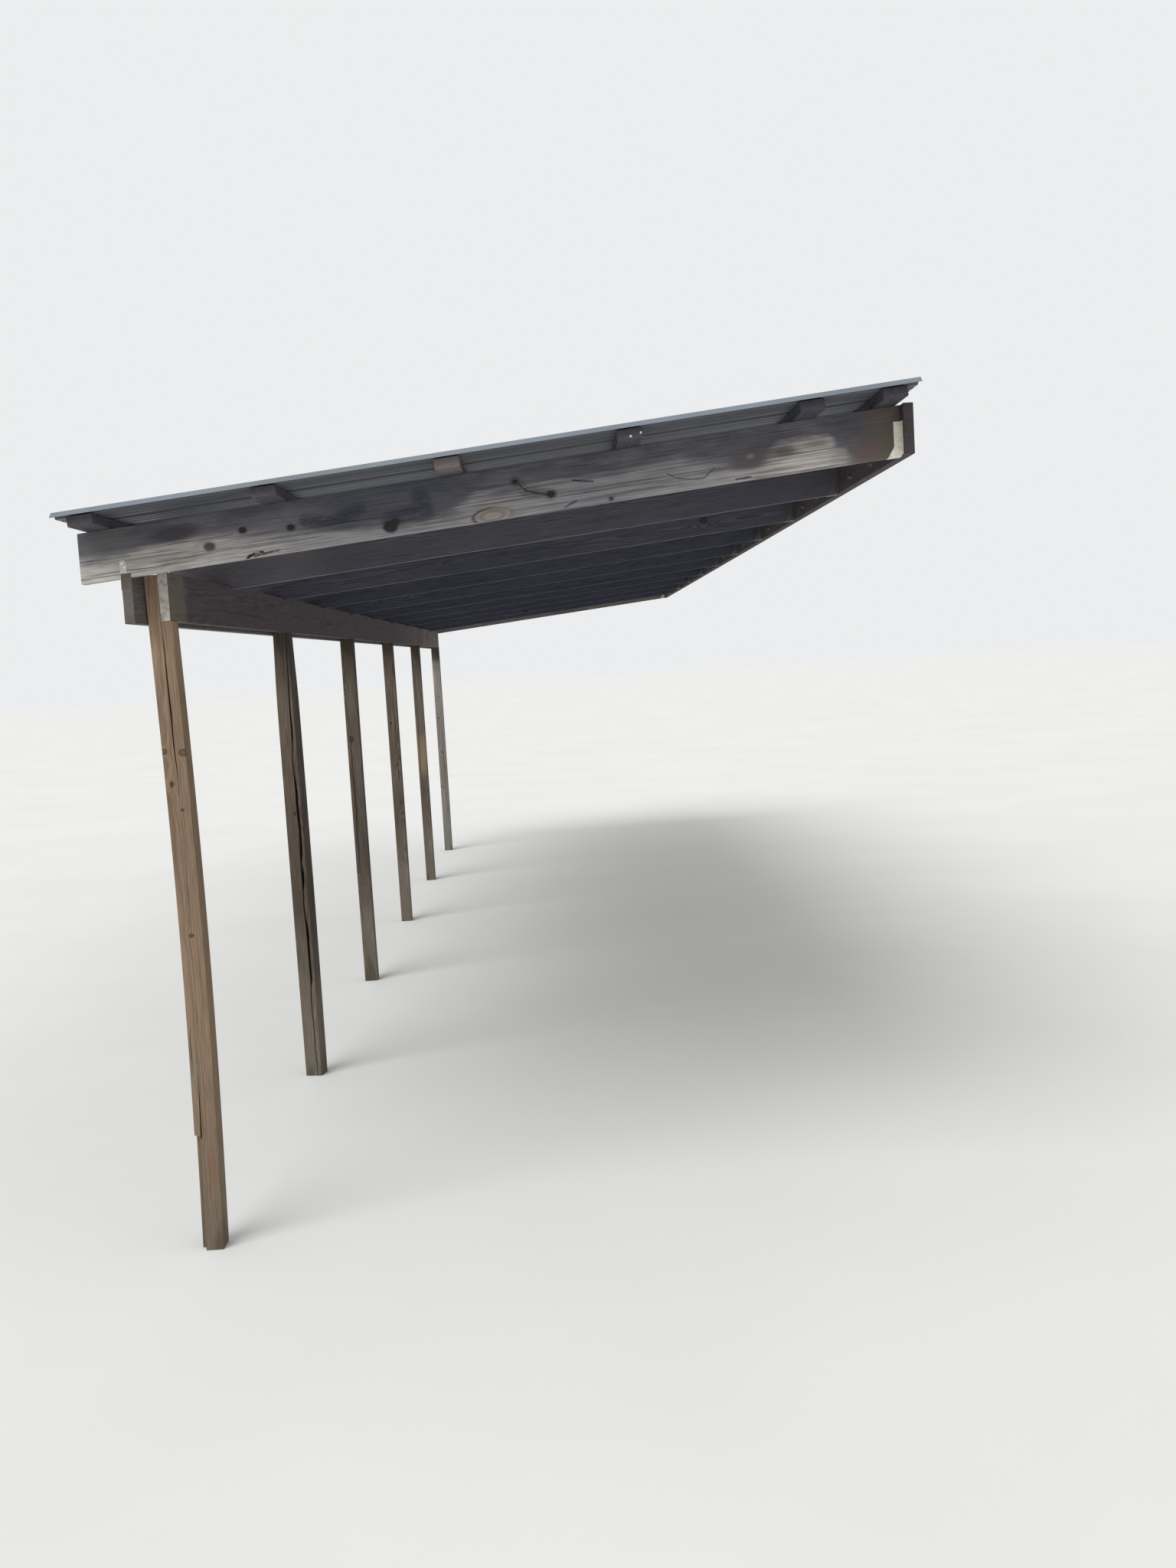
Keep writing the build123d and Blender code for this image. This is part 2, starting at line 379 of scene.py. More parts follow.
def knot_rim(f, grain, ripple, knots, rate, largest):
    """How far each point is from the nearest knot's rim, less than 0 inside it, and what its
    cell has drawn. knots are given as (point, radius) on the board."""
    scale = (rate, KNOT_CELLS, KNOT_CELLS)
    spread = f.vector("MULTIPLY", grain, scale)
    cells = f.cells(spread)
    away = f.vector("MULTIPLY", f.vector("SUBTRACT", spread, cells["Position"]),
                    tuple(k / c for k, c in zip((0.7, 1, 1), scale)))
    pick = f.split(cells["Color"])[0]
    size = f.times(f.minus(pick, NO_KNOT), largest / (1 - NO_KNOT))
    rim = f.minus(f.vector("LENGTH", away), size)
    for point, radius in knots:
        away = f.vector("MULTIPLY", f.vector("SUBTRACT", f.place, point), (0.8, 1, 1))
        rim = f.math("MINIMUM", rim, f.minus(f.vector("LENGTH", away), radius))
    return f.plus(rim, f.sway(ripple, 0.006)), pick


def timber(name, early, late, weather, weathered=0.5, ring=0.0055, knots=(), knot_rate=2.0,
           knot_size=0.016, mildew=None, streaks=0.6, tint=None, figure=1.0, marks=None):
    """Sawn softwood: rings about the log's heart, knots that turn the grain, fibre, fine
    checks, weathering and mildew. ring is the rings' spacing, mildew a colour and its share,
    figure how wild and strong the grain is, and marks paints what only one board has."""
    f = Finish(name)
    grain = f.attribute("grain", "Vector")
    ripple = f.noise(grain, (40, 120, 120), 2)
    rim, pick = knot_rim(f, grain, ripple, knots, knot_rate, knot_size)
    knot = f.step(rim, -0.002, 0.002, 1, 0)
    outline = f.step(f.math("ABSOLUTE", rim), 0.0, 0.0035, 1, 0)
    swirl = f.math("POWER", math.e, f.times(f.math("MAXIMUM", rim, 0), -38))

    # rings about the heart, and fibre along the grain
    _, u, v = f.split(grain)
    depth = f.vector("LENGTH", f.join(0, u, v))
    depth = f.plus(depth, f.times(f.noise(grain, (1.3, 7, 7), 2), 0.035 * figure),
                   f.times(f.noise(grain, (5, 45, 45), 2), 0.003), f.times(swirl, 0.017 * figure))
    band = f.math("FRACT", f.math("DIVIDE", depth, ring))
    rings = f.times(f.step(band, 0.25, 0.85), f.step(band, 0.9, 1.0, 1, 0))
    fibre = f.noise(grain, (9, 330, 330), 3, 0.6)
    streak = f.noise(grain, (1.7, 55, 55), 4, 0.6)
    blotch = f.noise(grain, (1.5, 10, 10), 3, 0.55)
    checks = f.step(f.noise(grain, (3.2, 190, 190), 2, 0.5), 0.66, 0.74)

    # colour: clean wood, then weathering, knots, mildew, the board's own marks, some of them painted
    # light and shade, and cracks with painted shade in their grooves
    wood = f.mix(f.times(rings, 0.35 + 0.4 * figure), early, late)
    if tint:
        wood = f.mix(f.step(f.noise(grain, (0.6, 3, 3), 2, 0.5), 0.4, 0.62), wood, tint, "MULTIPLY")
    wood = f.mix(f.times(f.step(streak, 0.45, 0.75), streaks), wood, late)
    bleach = f.times(f.step(f.plus(blotch, f.times(streak, 0.5)), 0.95 - weathered * 0.6,
                            1.15 - weathered * 0.6), 0.9)
    wood = f.mix(bleach, wood, f.mix(f.times(rings, 0.45), weather, late))
    wood = f.mix(f.step(fibre, 0.35, 0.7, 0.0, 0.35), wood, late, "MULTIPLY")
    core = f.mix(f.step(f.math("FRACT", f.times(rim, 260)), 0.2, 0.9), late, tone(late, 0.35))
    wood = f.mix(f.times(knot, 0.85), wood, core)
    wood = f.mix(f.times(outline, f.step(pick, 0.4, 0.5, 0.4, 0.85)), wood, tone(late, 0.18))
    if mildew:
        slate, most = mildew
        share = f.step(blotch, 0.62 - 0.25 * most, 0.78 - 0.2 * most, 0, most)
        wood = f.mix(f.times(share, f.step(streak, 0.2, 0.6, 0.8, 1.0)), wood, slate)
        wood = f.mix(f.times(outline, 0.6), wood, paint(30, 28, 30))
    if marks:
        wood = marks(f, wood, {"grain": grain, "blotch": blotch, "streak": streak,
                               "ripple": ripple, "knot": knot, "rim": rim})
    wood = f.mix(f.times(checks, 0.6), wood, tone(late, 0.3))
    # Near black in the checks' grooves: painted shade
    wood = f.mix(f.step(f.attribute("split", "Fac"), 0.1, 0.75, 0, 0.94), wood, paint(22, 19, 18))

    relief = f.plus(f.times(rings, 0.35), f.times(fibre, 0.9))
    relief = f.minus(f.minus(relief, f.times(checks, 1.1)), f.times(outline, 0.7))
    rough = f.step(f.plus(fibre, f.times(knot, -0.2)), 0.2, 0.8, 0.72, 0.95)
    return f.finish(wood, rough, relief, 0.7, 0.0014)


# Scars on the first rafter's outer face, as (x, z)
HOOKED_SCAR = [(-1.462, -0.104), (-1.422, -0.140), (-1.372, -0.153), (-1.334, -0.158)]
THIN_STREAK = [(-1.250, -0.112), (-1.178, -0.120)]
LOW_SCAR = [(-1.285, -0.207), (-1.242, -0.186)]
SMILE_SCAR = [(-0.904, -0.107), (-0.871, -0.125), (-0.816, -0.134), (-0.769, -0.131),
              (-0.729, -0.096)]
EDGE_SCAR = [(-0.650, -0.142), (-0.598, -0.137)]
TORN_EDGE = [(-2.465, -0.334), (-2.452, -0.318), (-2.430, -0.309), (-2.403, -0.304)]
TORN_FORK = [(-2.432, -0.319), (-2.385, -0.309), (-2.340, -0.303)]
SWIRL_SCAR = [(-2.239, -0.199), (-2.149, -0.208), (-2.081, -0.183), (-2.031, -0.174)]
BIG_KNOT_SMUDGE = [(-1.92, -0.215), (-1.80, -0.19), (-1.815, -0.14)]

# What is drawn there: a line, its width and its strength
SCARS = [(HOOKED_SCAR, 0.0055, 0.75), (SWIRL_SCAR, 0.004, 0.4), (THIN_STREAK, 0.0055, 0.8),
         (LOW_SCAR, 0.005, 0.7), (SMILE_SCAR, 0.004, 0.55), (EDGE_SCAR, 0.006, 0.8),
         (TORN_EDGE, 0.0075, 1.0), (TORN_FORK, 0.005, 0.9)]
SMUDGES = [(BIG_KNOT_SMUDGE, 0.05, 1.0), (SWIRL_SCAR, 0.03, 1.0), (HOOKED_SCAR, 0.032, 0.6)]

# Along it: how high its pale band reaches, as a share of its depth, and how bleached that is
BAND_TOP = [(-3.1, 0.42), (-2.9, 0.45), (-2.65, 0.54), (-2.4, 0.47), (-2.15, 0.27),
            (-1.95, 0.24), (-1.75, 0.24), (-1.58, 0.5), (-1.4, 0.55), (-1.1, 0.5),
            (-0.88, 0.6), (-0.7, 0.4), (-0.58, 0.26), (-0.48, 0.48), (-0.4, 0.56),
            (-0.31, 0.52), (-0.26, 0.3), (-0.2, 0.02)]
BAND_BLEACH = [(-3.1, 0.95), (-2.7, 0.85), (-2.4, 0.55), (-2.1, 0.25), (-1.8, 0.22),
               (-1.5, 0.35), (-1.2, 0.1), (-0.9, 0.25), (-0.6, 0.4), (-0.44, 0.9),
               (-0.36, 0.95), (-0.3, 0.95), (-0.2, 0.4)]

# Its patches: middle (x, z), half length, half height, softness and colour
NEAR_STAINS = [
    ((-0.61, -0.078), 0.07, 0.030, 0.6, (88, 82, 84)),
    ((-0.60, -0.007), 0.08, 0.020, 0.8, (94, 90, 96)),
    ((-0.35, -0.030), 0.05, 0.014, 0.8, (120, 115, 112)),
    ((-0.47, -0.05), 0.05, 0.018, 0.7, (84, 79, 80)),
    ((-0.595, -0.062), 0.015, 0.009, 0.4, (128, 114, 106)),
    ((-1.50, -0.134), 0.05, 0.012, 0.8, (92, 90, 96)),
    ((-2.10, -0.232), 0.07, 0.013, 0.8, (72, 74, 82)),
    ((-2.72, -0.219), 0.09, 0.029, 0.5, (60, 57, 62)),
    ((-2.98, -0.236), 0.08, 0.030, 0.8, (98, 96, 97)),
    ((-2.624, -0.276), 0.008, 0.014, 0.5, (168, 162, 156)),
]

# Its knots, as (x, z, radius), and the middle of the sound one in the pale band
NEAR_KNOTS = [(-2.593, -0.273, 0.014), (-2.469, -0.222, 0.011), (-2.292, -0.222, 0.011),
              (-1.928, -0.240, 0.020), (-1.909, -0.222, 0.012), (-1.463, -0.104, 0.008),
              (-1.334, -0.157, 0.012), (-1.114, -0.186, 0.005)]
SOUND_KNOT = (-1.553, NEAR_FACE, -0.222)


def pale_band(f, wood, field):
    """Bleached wood with its grain standing out."""
    pale = f.mix(f.curve(f.x, ROOF_SPAN, BAND_BLEACH), paint(126, 129, 138), paint(214, 209, 201))
    pale = f.mix(f.step(field["cloud"], 0.4, 0.7, 0, 0.45), pale, paint(112, 110, 112))
    wood = f.mix(0.75, wood, pale)
    wide = f.step(f.noise(field["grain"], (2.4, 110, 24), 3, 0.5), 0.52, 0.62)
    wood = f.mix(f.times(wide, 0.5), wood, paint(76, 73, 72))
    return f.mix(f.times(field["fine"], 0.42), wood, paint(60, 58, 60))


def dusk_above(f, wood, field):
    """Mildew over the band, bluest round the big knot, with a wandering lower edge."""
    height = f.minus(f.minus(f.z, UNDERSIDE), f.times(f.x, RISE))
    over = f.minus(height, f.times(f.curve(f.x, ROOF_SPAN, BAND_TOP), PLUMB_HEIGHT))
    over = f.plus(over, f.sway(field["cloud"], 0.09), f.sway(field["streak"], 0.05))
    dusk = f.mix(f.step(field["cloud"], 0.35, 0.7), paint(72, 72, 80), paint(106, 104, 110))
    dusk = f.mix(f.times(field["fine"], 0.3), dusk, paint(44, 44, 50))
    blue = f.times(f.step(f.x, -2.35, -2.1), f.step(f.x, -1.75, -1.6, 1, 0))
    dusk = f.mix(f.times(blue, 0.6), dusk, paint(60, 64, 76))
    return f.mix(f.step(over, -0.022, 0.03, 0, 0.93), wood, dusk)


def brown_end(f, wood, field):
    """A brown stain over the end by the ledger."""
    brown = f.mix(f.step(field["cloud"], 0.4, 0.6), paint(92, 84, 80), paint(102, 82, 76))
    brown = f.mix(f.step(f.x, -0.16, -0.06, 0, 0.7), brown, paint(88, 84, 68))
    edge = f.plus(f.x, f.sway(field["cloud"], 0.16))
    return f.mix(f.step(edge, -0.24, -0.15, 0, 0.85), wood, brown)


def sound_knot(f, wood, field):
    """A sound knot in the pale band, ringed, with a dark gap round its left end."""
    waver = field["waver"]
    gap = f.spot(SOUND_KNOT, 0.076, 0.032, 0.14, waver)
    gap = f.times(gap, f.step(f.x, -1.60, -1.50, 0.95, 0.3))
    wood = f.mix(gap, wood, paint(46, 43, 44))
    ring = f.minus(f.spot(SOUND_KNOT, 0.05, 0.019, 0.3, waver),
                   f.spot(SOUND_KNOT, 0.036, 0.013, 0.3, waver))
    inside = f.mix(f.step(field["streak"], 0.4, 0.7), paint(148, 142, 133), paint(112, 106, 99))
    inside = f.mix(f.times(ring, 0.55), inside, paint(84, 78, 74))
    return f.mix(f.spot(SOUND_KNOT, 0.066, 0.026, 0.12, waver), wood, inside)


def patches_and_scars(f, wood, field):
    """Patches, then soft smudges and narrow scars, both broken up."""
    for (x, z), half_long, half_high, soft, shade in NEAR_STAINS:
        stain = f.spot((x, NEAR_FACE, z), half_long, half_high, soft, field["waver"])
        wood = f.mix(f.times(stain, 0.85), wood, paint(*shade))
    broken = f.step(f.noise(f.place, (26, 26, 60), 3, 0.6), 0.32, 0.5)
    for drawn, patchy, steady, shade in ((SMUDGES, 0.35, 0.18, (38, 41, 52)),
                                         (SCARS, 0.65, 0.35, (34, 32, 35))):
        most = 0.0
        for points, width, firm in drawn:
            line = f.line([(x, NEAR_FACE, z) for x, z in points], width, field["waver"])
            most = f.math("MAXIMUM", most, f.times(line, firm))
        share = f.times(most, f.plus(f.times(broken, patchy), steady))
        wood = f.mix(share, wood, paint(*shade))
    return wood


def dark_knots(f, wood, field):
    """Dark, ringed knots in a soft halo. The one nearest the eave is fainter."""
    wood = f.mix(f.step(field["rim"], 0.0, 0.010, 0.55, 0), wood, paint(56, 53, 55))
    core = f.mix(f.step(f.math("FRACT", f.times(field["rim"], 190)), 0.2, 0.8),
                 paint(24, 22, 25), paint(42, 39, 42))
    firm = f.step(f.x, -2.58, -2.5, 0.6, 0.95)
    return f.mix(f.times(field["knot"], firm), wood, core)


def near_rafter_marks(f, wood, field):
    """The first rafter's weather and its own marks, one layer over another."""
    field["cloud"] = f.noise(f.place, (4.5, 4.5, 13), 3, 0.6)
    field["fine"] = f.step(f.noise(field["grain"], (3.5, 270, 50), 3, 0.6), 0.5, 0.6)
    field["waver"] = f.sway(field["ripple"], 0.006)
    for layer in (pale_band, dusk_above, brown_end, sound_knot, patches_and_scars, dark_knots):
        wood = layer(f, wood, field)
    return wood


def post_marks(soil, shades, side, stain=None):
    """Posts: painted shade and light by height, as (z, share of full brightness), painted shade
    on the side towards the ledger, dirt above the foot and one stain: middle, half length, half
    height, colour."""
    def marks(f, wood, field):
        # Painted shade and light by height
        wood = f.mix(1.0, wood, f.times(f.curve(f.z, POST_SPAN, shades), 1.5), "MULTIPLY")
        # Painted shade on the faces towards the ledger
        wood = f.mix(f.step(f.normal()[0], 0.5, 0.9), wood, side, "MULTIPLY")
        low = f.plus(f.z, f.sway(field["blotch"], 0.9))
        wood = f.mix(f.step(low, FOOT, FOOT + 0.85, 0.6, 0.0), wood, soil)
        wood = f.mix(f.step(low, FOOT, FOOT + 0.12, 0.6, 0.0), wood, paint(66, 58, 48))
        if stain:
            middle, half_long, half_high, shade = stain
            wood = f.mix(f.times(f.spot(middle, half_long, half_high, 0.5), 0.5), wood, paint(*shade))
        return wood
    return marks


def inner_beam_marks(f, wood, field):
    """The inner beam: pale end grain, bleached and also painted light, and painted light towards its
    two ends.
    """
    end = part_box("inner_beam_1")[0].y
    # Painted light on the face near its end
    wood = f.mix(f.step(f.y, end + 0.2, end + 0.28, 0.75, 0), wood, paint(104, 97, 84))
    # Painted light towards the far end
    far = f.mix(f.step(f.noise(f.place, (1, 9, 1), 3, 0.6), 0.45, 0.6), paint(100, 90, 84),
                paint(128, 114, 100))
    wood = f.mix(f.step(f.y, 1.0, 5.4, 0, 0.75), wood, far)
    # Pale end grain: bleached, and painted light as well
    rough_end = f.mix(f.step(field["streak"], 0.35, 0.7), paint(206, 200, 192), paint(166, 159, 150))
    return f.mix(f.step(f.y, end + 0.0006, end + 0.0022, 1, 0), wood, rough_end)


def outer_beam_marks(f, wood, field):
    """The outer beam: darker on its face towards the ledger."""
    return f.mix(f.step(f.normal()[0], 0.5, 0.9), wood, (0.72, 0.68, 0.64), "MULTIPLY")


def purlin_marks(f, wood, field):
    """Purlins: painted light on the third's end, and painted shade on those near the ledger."""
    third = centre(PURLINS[2]).x
    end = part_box(PURLINS[2])[0].y
    # Painted light on the third purlin's end
    near = f.times(f.step(f.y, end + 0.06, end + 0.24, 1, 0),
                   f.step(f.math("ABSOLUTE", f.minus(f.x, third)), 0.1, 0.2, 1, 0))
    wood = f.mix(f.times(near, 0.55), wood, paint(132, 122, 118))
    # Painted shade on the purlins near the ledger
    return f.mix(f.step(f.x, -1.2, -0.3), wood, (0.72, 0.76, 0.86), "MULTIPLY")


# Along the second rafter: how much painted light makes it paler than the others
SECOND_PALE = [(-2.95, 0.2), (-2.56, 0.36), (-2.25, 0.12), (-1.86, 0.12), (-1.5, 0.12),
               (-1.1, 0.08)]


def inside_marks(f, wood, field):
    """Rafters under the roof: painted light makes the second paler, most at its outer end, and
    painted shade makes those further in darker."""
    second = centre(RAFTERS[1]).y
    # Painted light on the second rafter
    share = f.times(f.step(f.y, second + 0.1, second + 0.2, 1, 0),
                    f.curve(f.x, ROOF_SPAN, SECOND_PALE))
    wood = f.mix(share, wood, paint(142, 137, 135))
    # Painted shade on the rafters further in
    return f.mix(f.step(f.y, second + 1.4, second + 2.2), wood, (0.78, 0.83, 0.9), "MULTIPLY")


# Rust starts this far up the roof from a row of screws. The underside has painted shade past
# the end rafters
RUST_START = 0.0118
OVERHANG = (6.1, 6.18)


def sheet_metal(settings):
    """Painted ribbed roofing: chalked and streaked above, a dull wash coat below, with painted
    shade under the overhangs.
    """
    f = Finish("Roof sheet", specular=0.4)
    top, under = tuple(settings.top), tuple(settings.under)
    cloud = f.noise(f.place, (1.1, 1.6, 1.1), 4, 0.6)
    runs = f.noise(f.place, (0.7, 34, 0.7), 4, 0.65)
    fine = f.noise(f.place, (60, 60, 60), 4, 0.7)
    chalk = f.mix(f.step(cloud, 0.35, 0.7), top, tone(top, 1.4))
    chalk = f.mix(f.step(runs, 0.48, 0.75, 0, 0.6), chalk, paint(122, 122, 114))

    # silt in the valleys, then rust that runs down from the screws
    across = f.math("FRACT", f.math("DIVIDE", f.plus(f.y, ROOF_END), RIB_PITCH))
    valley = f.times(f.step(across, 0.24, 0.32), f.step(across, 0.95, 1.0, 1, 0))
    silt = f.times(valley, f.step(f.plus(cloud, f.times(fine, 0.4)), 0.62, 0.9, 0, 0.7))
    chalk = f.mix(silt, chalk, paint(104, 98, 84))
    row = centre(PURLINS[2]).x + RUST_START
    below = f.math("FRACT", f.math("DIVIDE", f.minus(row, f.x), PURLIN_STEP))
    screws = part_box(SHEETS[0])[0].y + ROOF_END + RIB_HALF + settings.screw_off_rib
    beside = f.math("ABSOLUTE", f.minus(across, screws / RIB_PITCH))
    rust = f.times(f.step(below, 0.0, 0.36, 1, 0), f.step(beside, 0.015, 0.055, 1, 0),
                   f.step(f.noise(f.place, (1.3, 3.9, 1), 2), 0.42, 0.62, 0, 0.6))
    chalk = f.mix(rust, chalk, paint(122, 84, 58))

    dust_and_shade = f.mix(f.step(cloud, 0.3, 0.7), under, tone(under, 0.72))
    dust_and_shade = f.mix(f.step(runs, 0.5, 0.78, 0, 0.3), dust_and_shade, paint(64, 64, 62))
    dust_and_shade = f.mix(f.step(fine, 0.6, 0.78, 0, 0.35), dust_and_shade, paint(116, 112, 102))
    # Painted shade under the overhangs past the end rafters
    past = f.step(f.math("ABSOLUTE", f.y), *OVERHANG)
    dust_and_shade = f.mix(past, dust_and_shade, (0.8, 0.8, 0.8), "MULTIPLY")
    base = f.mix(f.step(f.normal()[2], -0.05, 0.05), dust_and_shade, chalk)
    rough = f.step(f.plus(runs, f.times(fine, 0.3)), 0.4, 0.9, 0.34, 0.72)
    dent = f.noise(f.place, (2.2, 5.0, 2.2), 2, 0.5)
    return f.finish(base, rough, f.plus(f.times(dent, 6.0), f.times(fine, 0.12)), 0.25, 0.004)


def galvanised(name, zinc, dull=0.35, sheltered=False):
    """Hot-dip zinc: spangle, dull oxide bloom and a little rust. With sheltered set, painted shade
    darkens the steel between the end rafters."""
    f = Finish(name, metallic=0.35, specular=0.5)
    flake = f.split(f.cells(f.vector("MULTIPLY", f.place, (170, 170, 170)))["Color"])[0]
    bloom = f.noise(f.place, (18, 18, 18), 4, 0.65)
    spots = f.noise(f.place, (46, 46, 46), 3, 0.6)
    base = f.mix(flake, tone(zinc, 0.82), tone(zinc, 1.15))
    base = f.mix(f.step(bloom, 0.45, 0.68, 0, dull), base, paint(176, 176, 168))
    base = f.mix(f.step(spots, 0.66, 0.76, 0, 0.7), base, paint(110, 76, 52))
    if sheltered:
        # Painted shade on the steel between the end rafters
        past = f.math("ABSOLUTE", f.y)
        base = f.mix(f.step(past, 5.9, 6.04, 0.9, 0.0), base, paint(62, 60, 66))
    rough = f.step(f.plus(flake, bloom), 0.5, 1.5, 0.32, 0.62)
    return f.finish(base, rough, f.plus(bloom, f.times(flake, 0.15)), 0.3, 0.0006)


# Board shapes


def reach(verts, axis):
    """The lowest and highest of some vertices along an axis."""
    places = [v.co.dot(axis) for v in verts]
    return min(places), max(places)


def loose_boards(work):
    """The separate boards of a mesh, each a list of vertices, in a fixed order."""
    seen, found = set(), []
    for start in work.verts:
        if start in seen:
            continue
        seen.add(start)
        board, front = [start], [start]
        while front:
            for edge in front.pop().link_edges:
                for vert in edge.verts:
                    if vert not in seen:
                        seen.add(vert)
                        board.append(vert)
                        front.append(vert)
        found.append(board)
    return found


def put_piece(work, name, material, replaced=()):
    """Makes a finished mesh a piece of the object."""
    for face in work.faces:
        face.smooth = False
    data = to_mesh(work, name)
    if "custom_normal" in data.attributes:
        data.attributes.remove(data.attributes["custom_normal"])
    data.materials.append(material)
    piece = bpy.data.objects.new(name, data)
    bpy.context.scene.collection.objects.link(piece)
    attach(piece, "root")
    if replaced:
        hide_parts(*replaced)


def to_mesh(work, name):
    data = bpy.data.meshes.new(name)
    work.to_mesh(data)
    work.free()
    return data


class Board:
    """A worn copy of a node's own shape, cut across into rows so that it can bend. Edges
    higher than crisp stay as they were cut."""

    def __init__(self, node, kind, seed, ease, row, crisp=math.inf):
        self.node = node
        self.along, self.wide, self.thin = AXES[kind]
        self.low, self.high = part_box(node)
        self.middle = centre(node)
        self.chance = random.Random(seed)
        self.work = bmesh.new()
        self.work.from_mesh(frame["nodes"][node].data)
        self.grain = self.work.verts.layers.float_vector.new("grain")
        self.split = self.work.verts.layers.float.new("split")
        bmesh.ops.remove_doubles(self.work, verts=self.work.verts[:], dist=1e-5)
        bmesh.ops.dissolve_limit(self.work, angle_limit=math.radians(1),
                                 verts=self.work.verts[:], edges=self.work.edges[:])
        worn = [edge for edge in self.work.edges if self.wears(edge, crisp)]
        bmesh.ops.bevel(self.work, geom=worn, offset=ease, segments=2, profile=0.5,
                        affect="EDGES", material=-1, clamp_overlap=True)
        low, high = reach(self.work.verts, self.along)
        rows = max(2, round((high - low) / row))
        for k in range(1, rows):
            self.cut(self.along, low + (high - low) * k / rows)

    def wears(self, edge, crisp):
        """Whether an edge wears: a long one along the grain, or one round an end."""
        run = edge.verts[1].co - edge.verts[0].co
        long = run.length > 0.3 and abs(run.normalized().dot(self.along)) > 0.998
        at_end = any(abs(face.normal.dot(self.along)) > 0.95 and face.calc_area() > 0.0025
                     for face in edge.link_faces)
        kept = min(v.co.z for v in edge.verts) > crisp
        return edge.is_convex and (long or at_end) and not kept

    def cut(self, direction, distance):
        """Cuts the mesh through where it meets a plane, and keeps both sides."""
        everything = self.work.verts[:] + self.work.edges[:] + self.work.faces[:]
        bmesh.ops.bisect_plane(self.work, geom=everything, dist=1e-6,
                               plane_co=direction * distance, plane_no=direction)

    def across(self, face):
        """The way across a face, square to the grain."""
        way = self.along.cross(face).normalized()
        return -way if max(way, key=abs) < 0 else way

    def check(self, face, at, low, high, width, depth, drift=0.0, foot=False):
        """A drying check: a groove along the grain, in the face that looks along face. at is
        its place across that face, and low and high its ends along the board. A foot check
        is widest at its low end."""
        across = self.across(face)
        plane = reach(self.work.verts, face)[1]
        for shift in (-width / 2, 0, width / 2):
            self.cut(across, at + shift)
        # The third draw goes unused, but the draws that follow depend on it
        first, second, _ = (self.chance.uniform(0, 6.28) for _ in range(3))
        for vert in self.work.verts:
            s = vert.co.dot(self.along)
            off = vert.co.dot(across) - at
            if not low < s < high or abs(off) > width / 2 + 1e-4:
                continue
            if abs(vert.co.dot(face) - plane) > 1e-4:
                continue
            t = (s - low) / (high - low)
            gape = (1 - t) ** 0.8 if foot else math.sin(math.pi * t) ** 0.55
            wave = 0.0022 * math.sin(s * 9 + first) + 0.0012 * math.sin(s * 23 + second)
            side = off / (width / 2)
            vert.co += across * (wave * min(1, 4 * t, 4 * (1 - t)) + drift * (t - 0.5))
            vert.co -= across * side * (1 - gape) * width / 2
            if abs(side) < 0.1:
                vert.co -= face * depth * gape
                vert[self.split] = gape
            else:
                vert[self.split] = 0.2 * gape

    def bend(self, push, peak=0.5):
        """Bows the board by push, most at peak of its length and nothing at its ends."""
        low, high = reach(self.work.verts, self.along)
        power = math.log(0.5) / math.log(peak)
        for vert in self.work.verts:
            t = max(0, (vert.co.dot(self.along) - low) / (high - low))
            vert.co += push * math.sin(math.pi * t ** power)

    def lay_grain(self, off_heart, from_heart):
        """Gives each board its own piece of a log: its place along it, and its place off the
        heart, up to off_heart across and in the range from_heart through the board."""
        draw = self.chance.uniform
        for board in loose_boards(self.work):
            mid = [sum(reach(board, axis)) / 2 for axis in (self.along, self.wide, self.thin)]
            start = draw(-60, 60)
            heart = (draw(-off_heart, off_heart), self.chance.choice((-1, 1)) * draw(*from_heart))
            lean = (draw(-0.006, 0.006), draw(-0.009, 0.009))
            for vert in board:
                s = vert.co.dot(self.along) - mid[0]
                vert[self.grain] = (s + start,
                                    vert.co.dot(self.wide) - mid[1] - heart[0] - lean[0] * s,
                                    vert.co.dot(self.thin) - mid[2] - heart[1] - lean[1] * s)

    def finish(self, material, slot):
        put_piece(self.work, self.node + "_timber", material, [self.node])


# Where logs were sawn: posts hold the heart, and boards were cut beside it
BOXED_HEART = (0.03, (0.02, 0.05))
SIDE_CUT = (0.05, (0.035, 0.09))


def on_face(node, knots):
    """Knots given as (x, z, radius), on a node's outer face."""
    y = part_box(node)[0].y
    return [((x, y, z), radius) for x, z, radius in knots]


# Pieces


# Painted shade and light on the posts, from the foot up, as (z, share of full brightness)
FIRST_SHADES = [(-2.99, 0.58), (-2.6, 0.62), (-2.1, 0.66), (-1.3, 0.62), (-0.85, 0.67),
                (-0.6, 0.9)]
DARK_SHADES = [(-2.99, 0.9), (-2.6, 0.92), (-2.35, 0.64), (-2.05, 0.45), (-1.65, 0.55),
               (-1.3, 0.68), (-0.9, 0.75), (-0.7, 0.5), (-0.58, 0.35)]
BROWN_SHADES = [(-2.99, 0.9), (-2.6, 0.9), (-2.35, 0.68), (-2.05, 0.54), (-1.65, 0.74),
                (-0.9, 0.77), (-0.7, 0.56), (-0.58, 0.42)]
LAST_SHADES = [(-2.99, 0.68), (-2.1, 0.66), (-1.5, 0.7), (-0.85, 0.95), (-0.75, 0.7),
               (-0.64, 0.22)]

# Knots as (x, z, radius), and for the last post off its middle instead of x
FIRST_KNOTS = [(-2.868, -1.021, 0.010), (-2.793, -1.0285, 0.012), (-2.815, -1.248, 0.004),
               (-2.821, -1.735, 0.006)]
LAST_KNOTS = [(0.004, -1.12, 0.007), (-0.012, -1.38, 0.009), (0.008, -1.79, 0.011),
              (-0.006, -2.22, 0.008)]

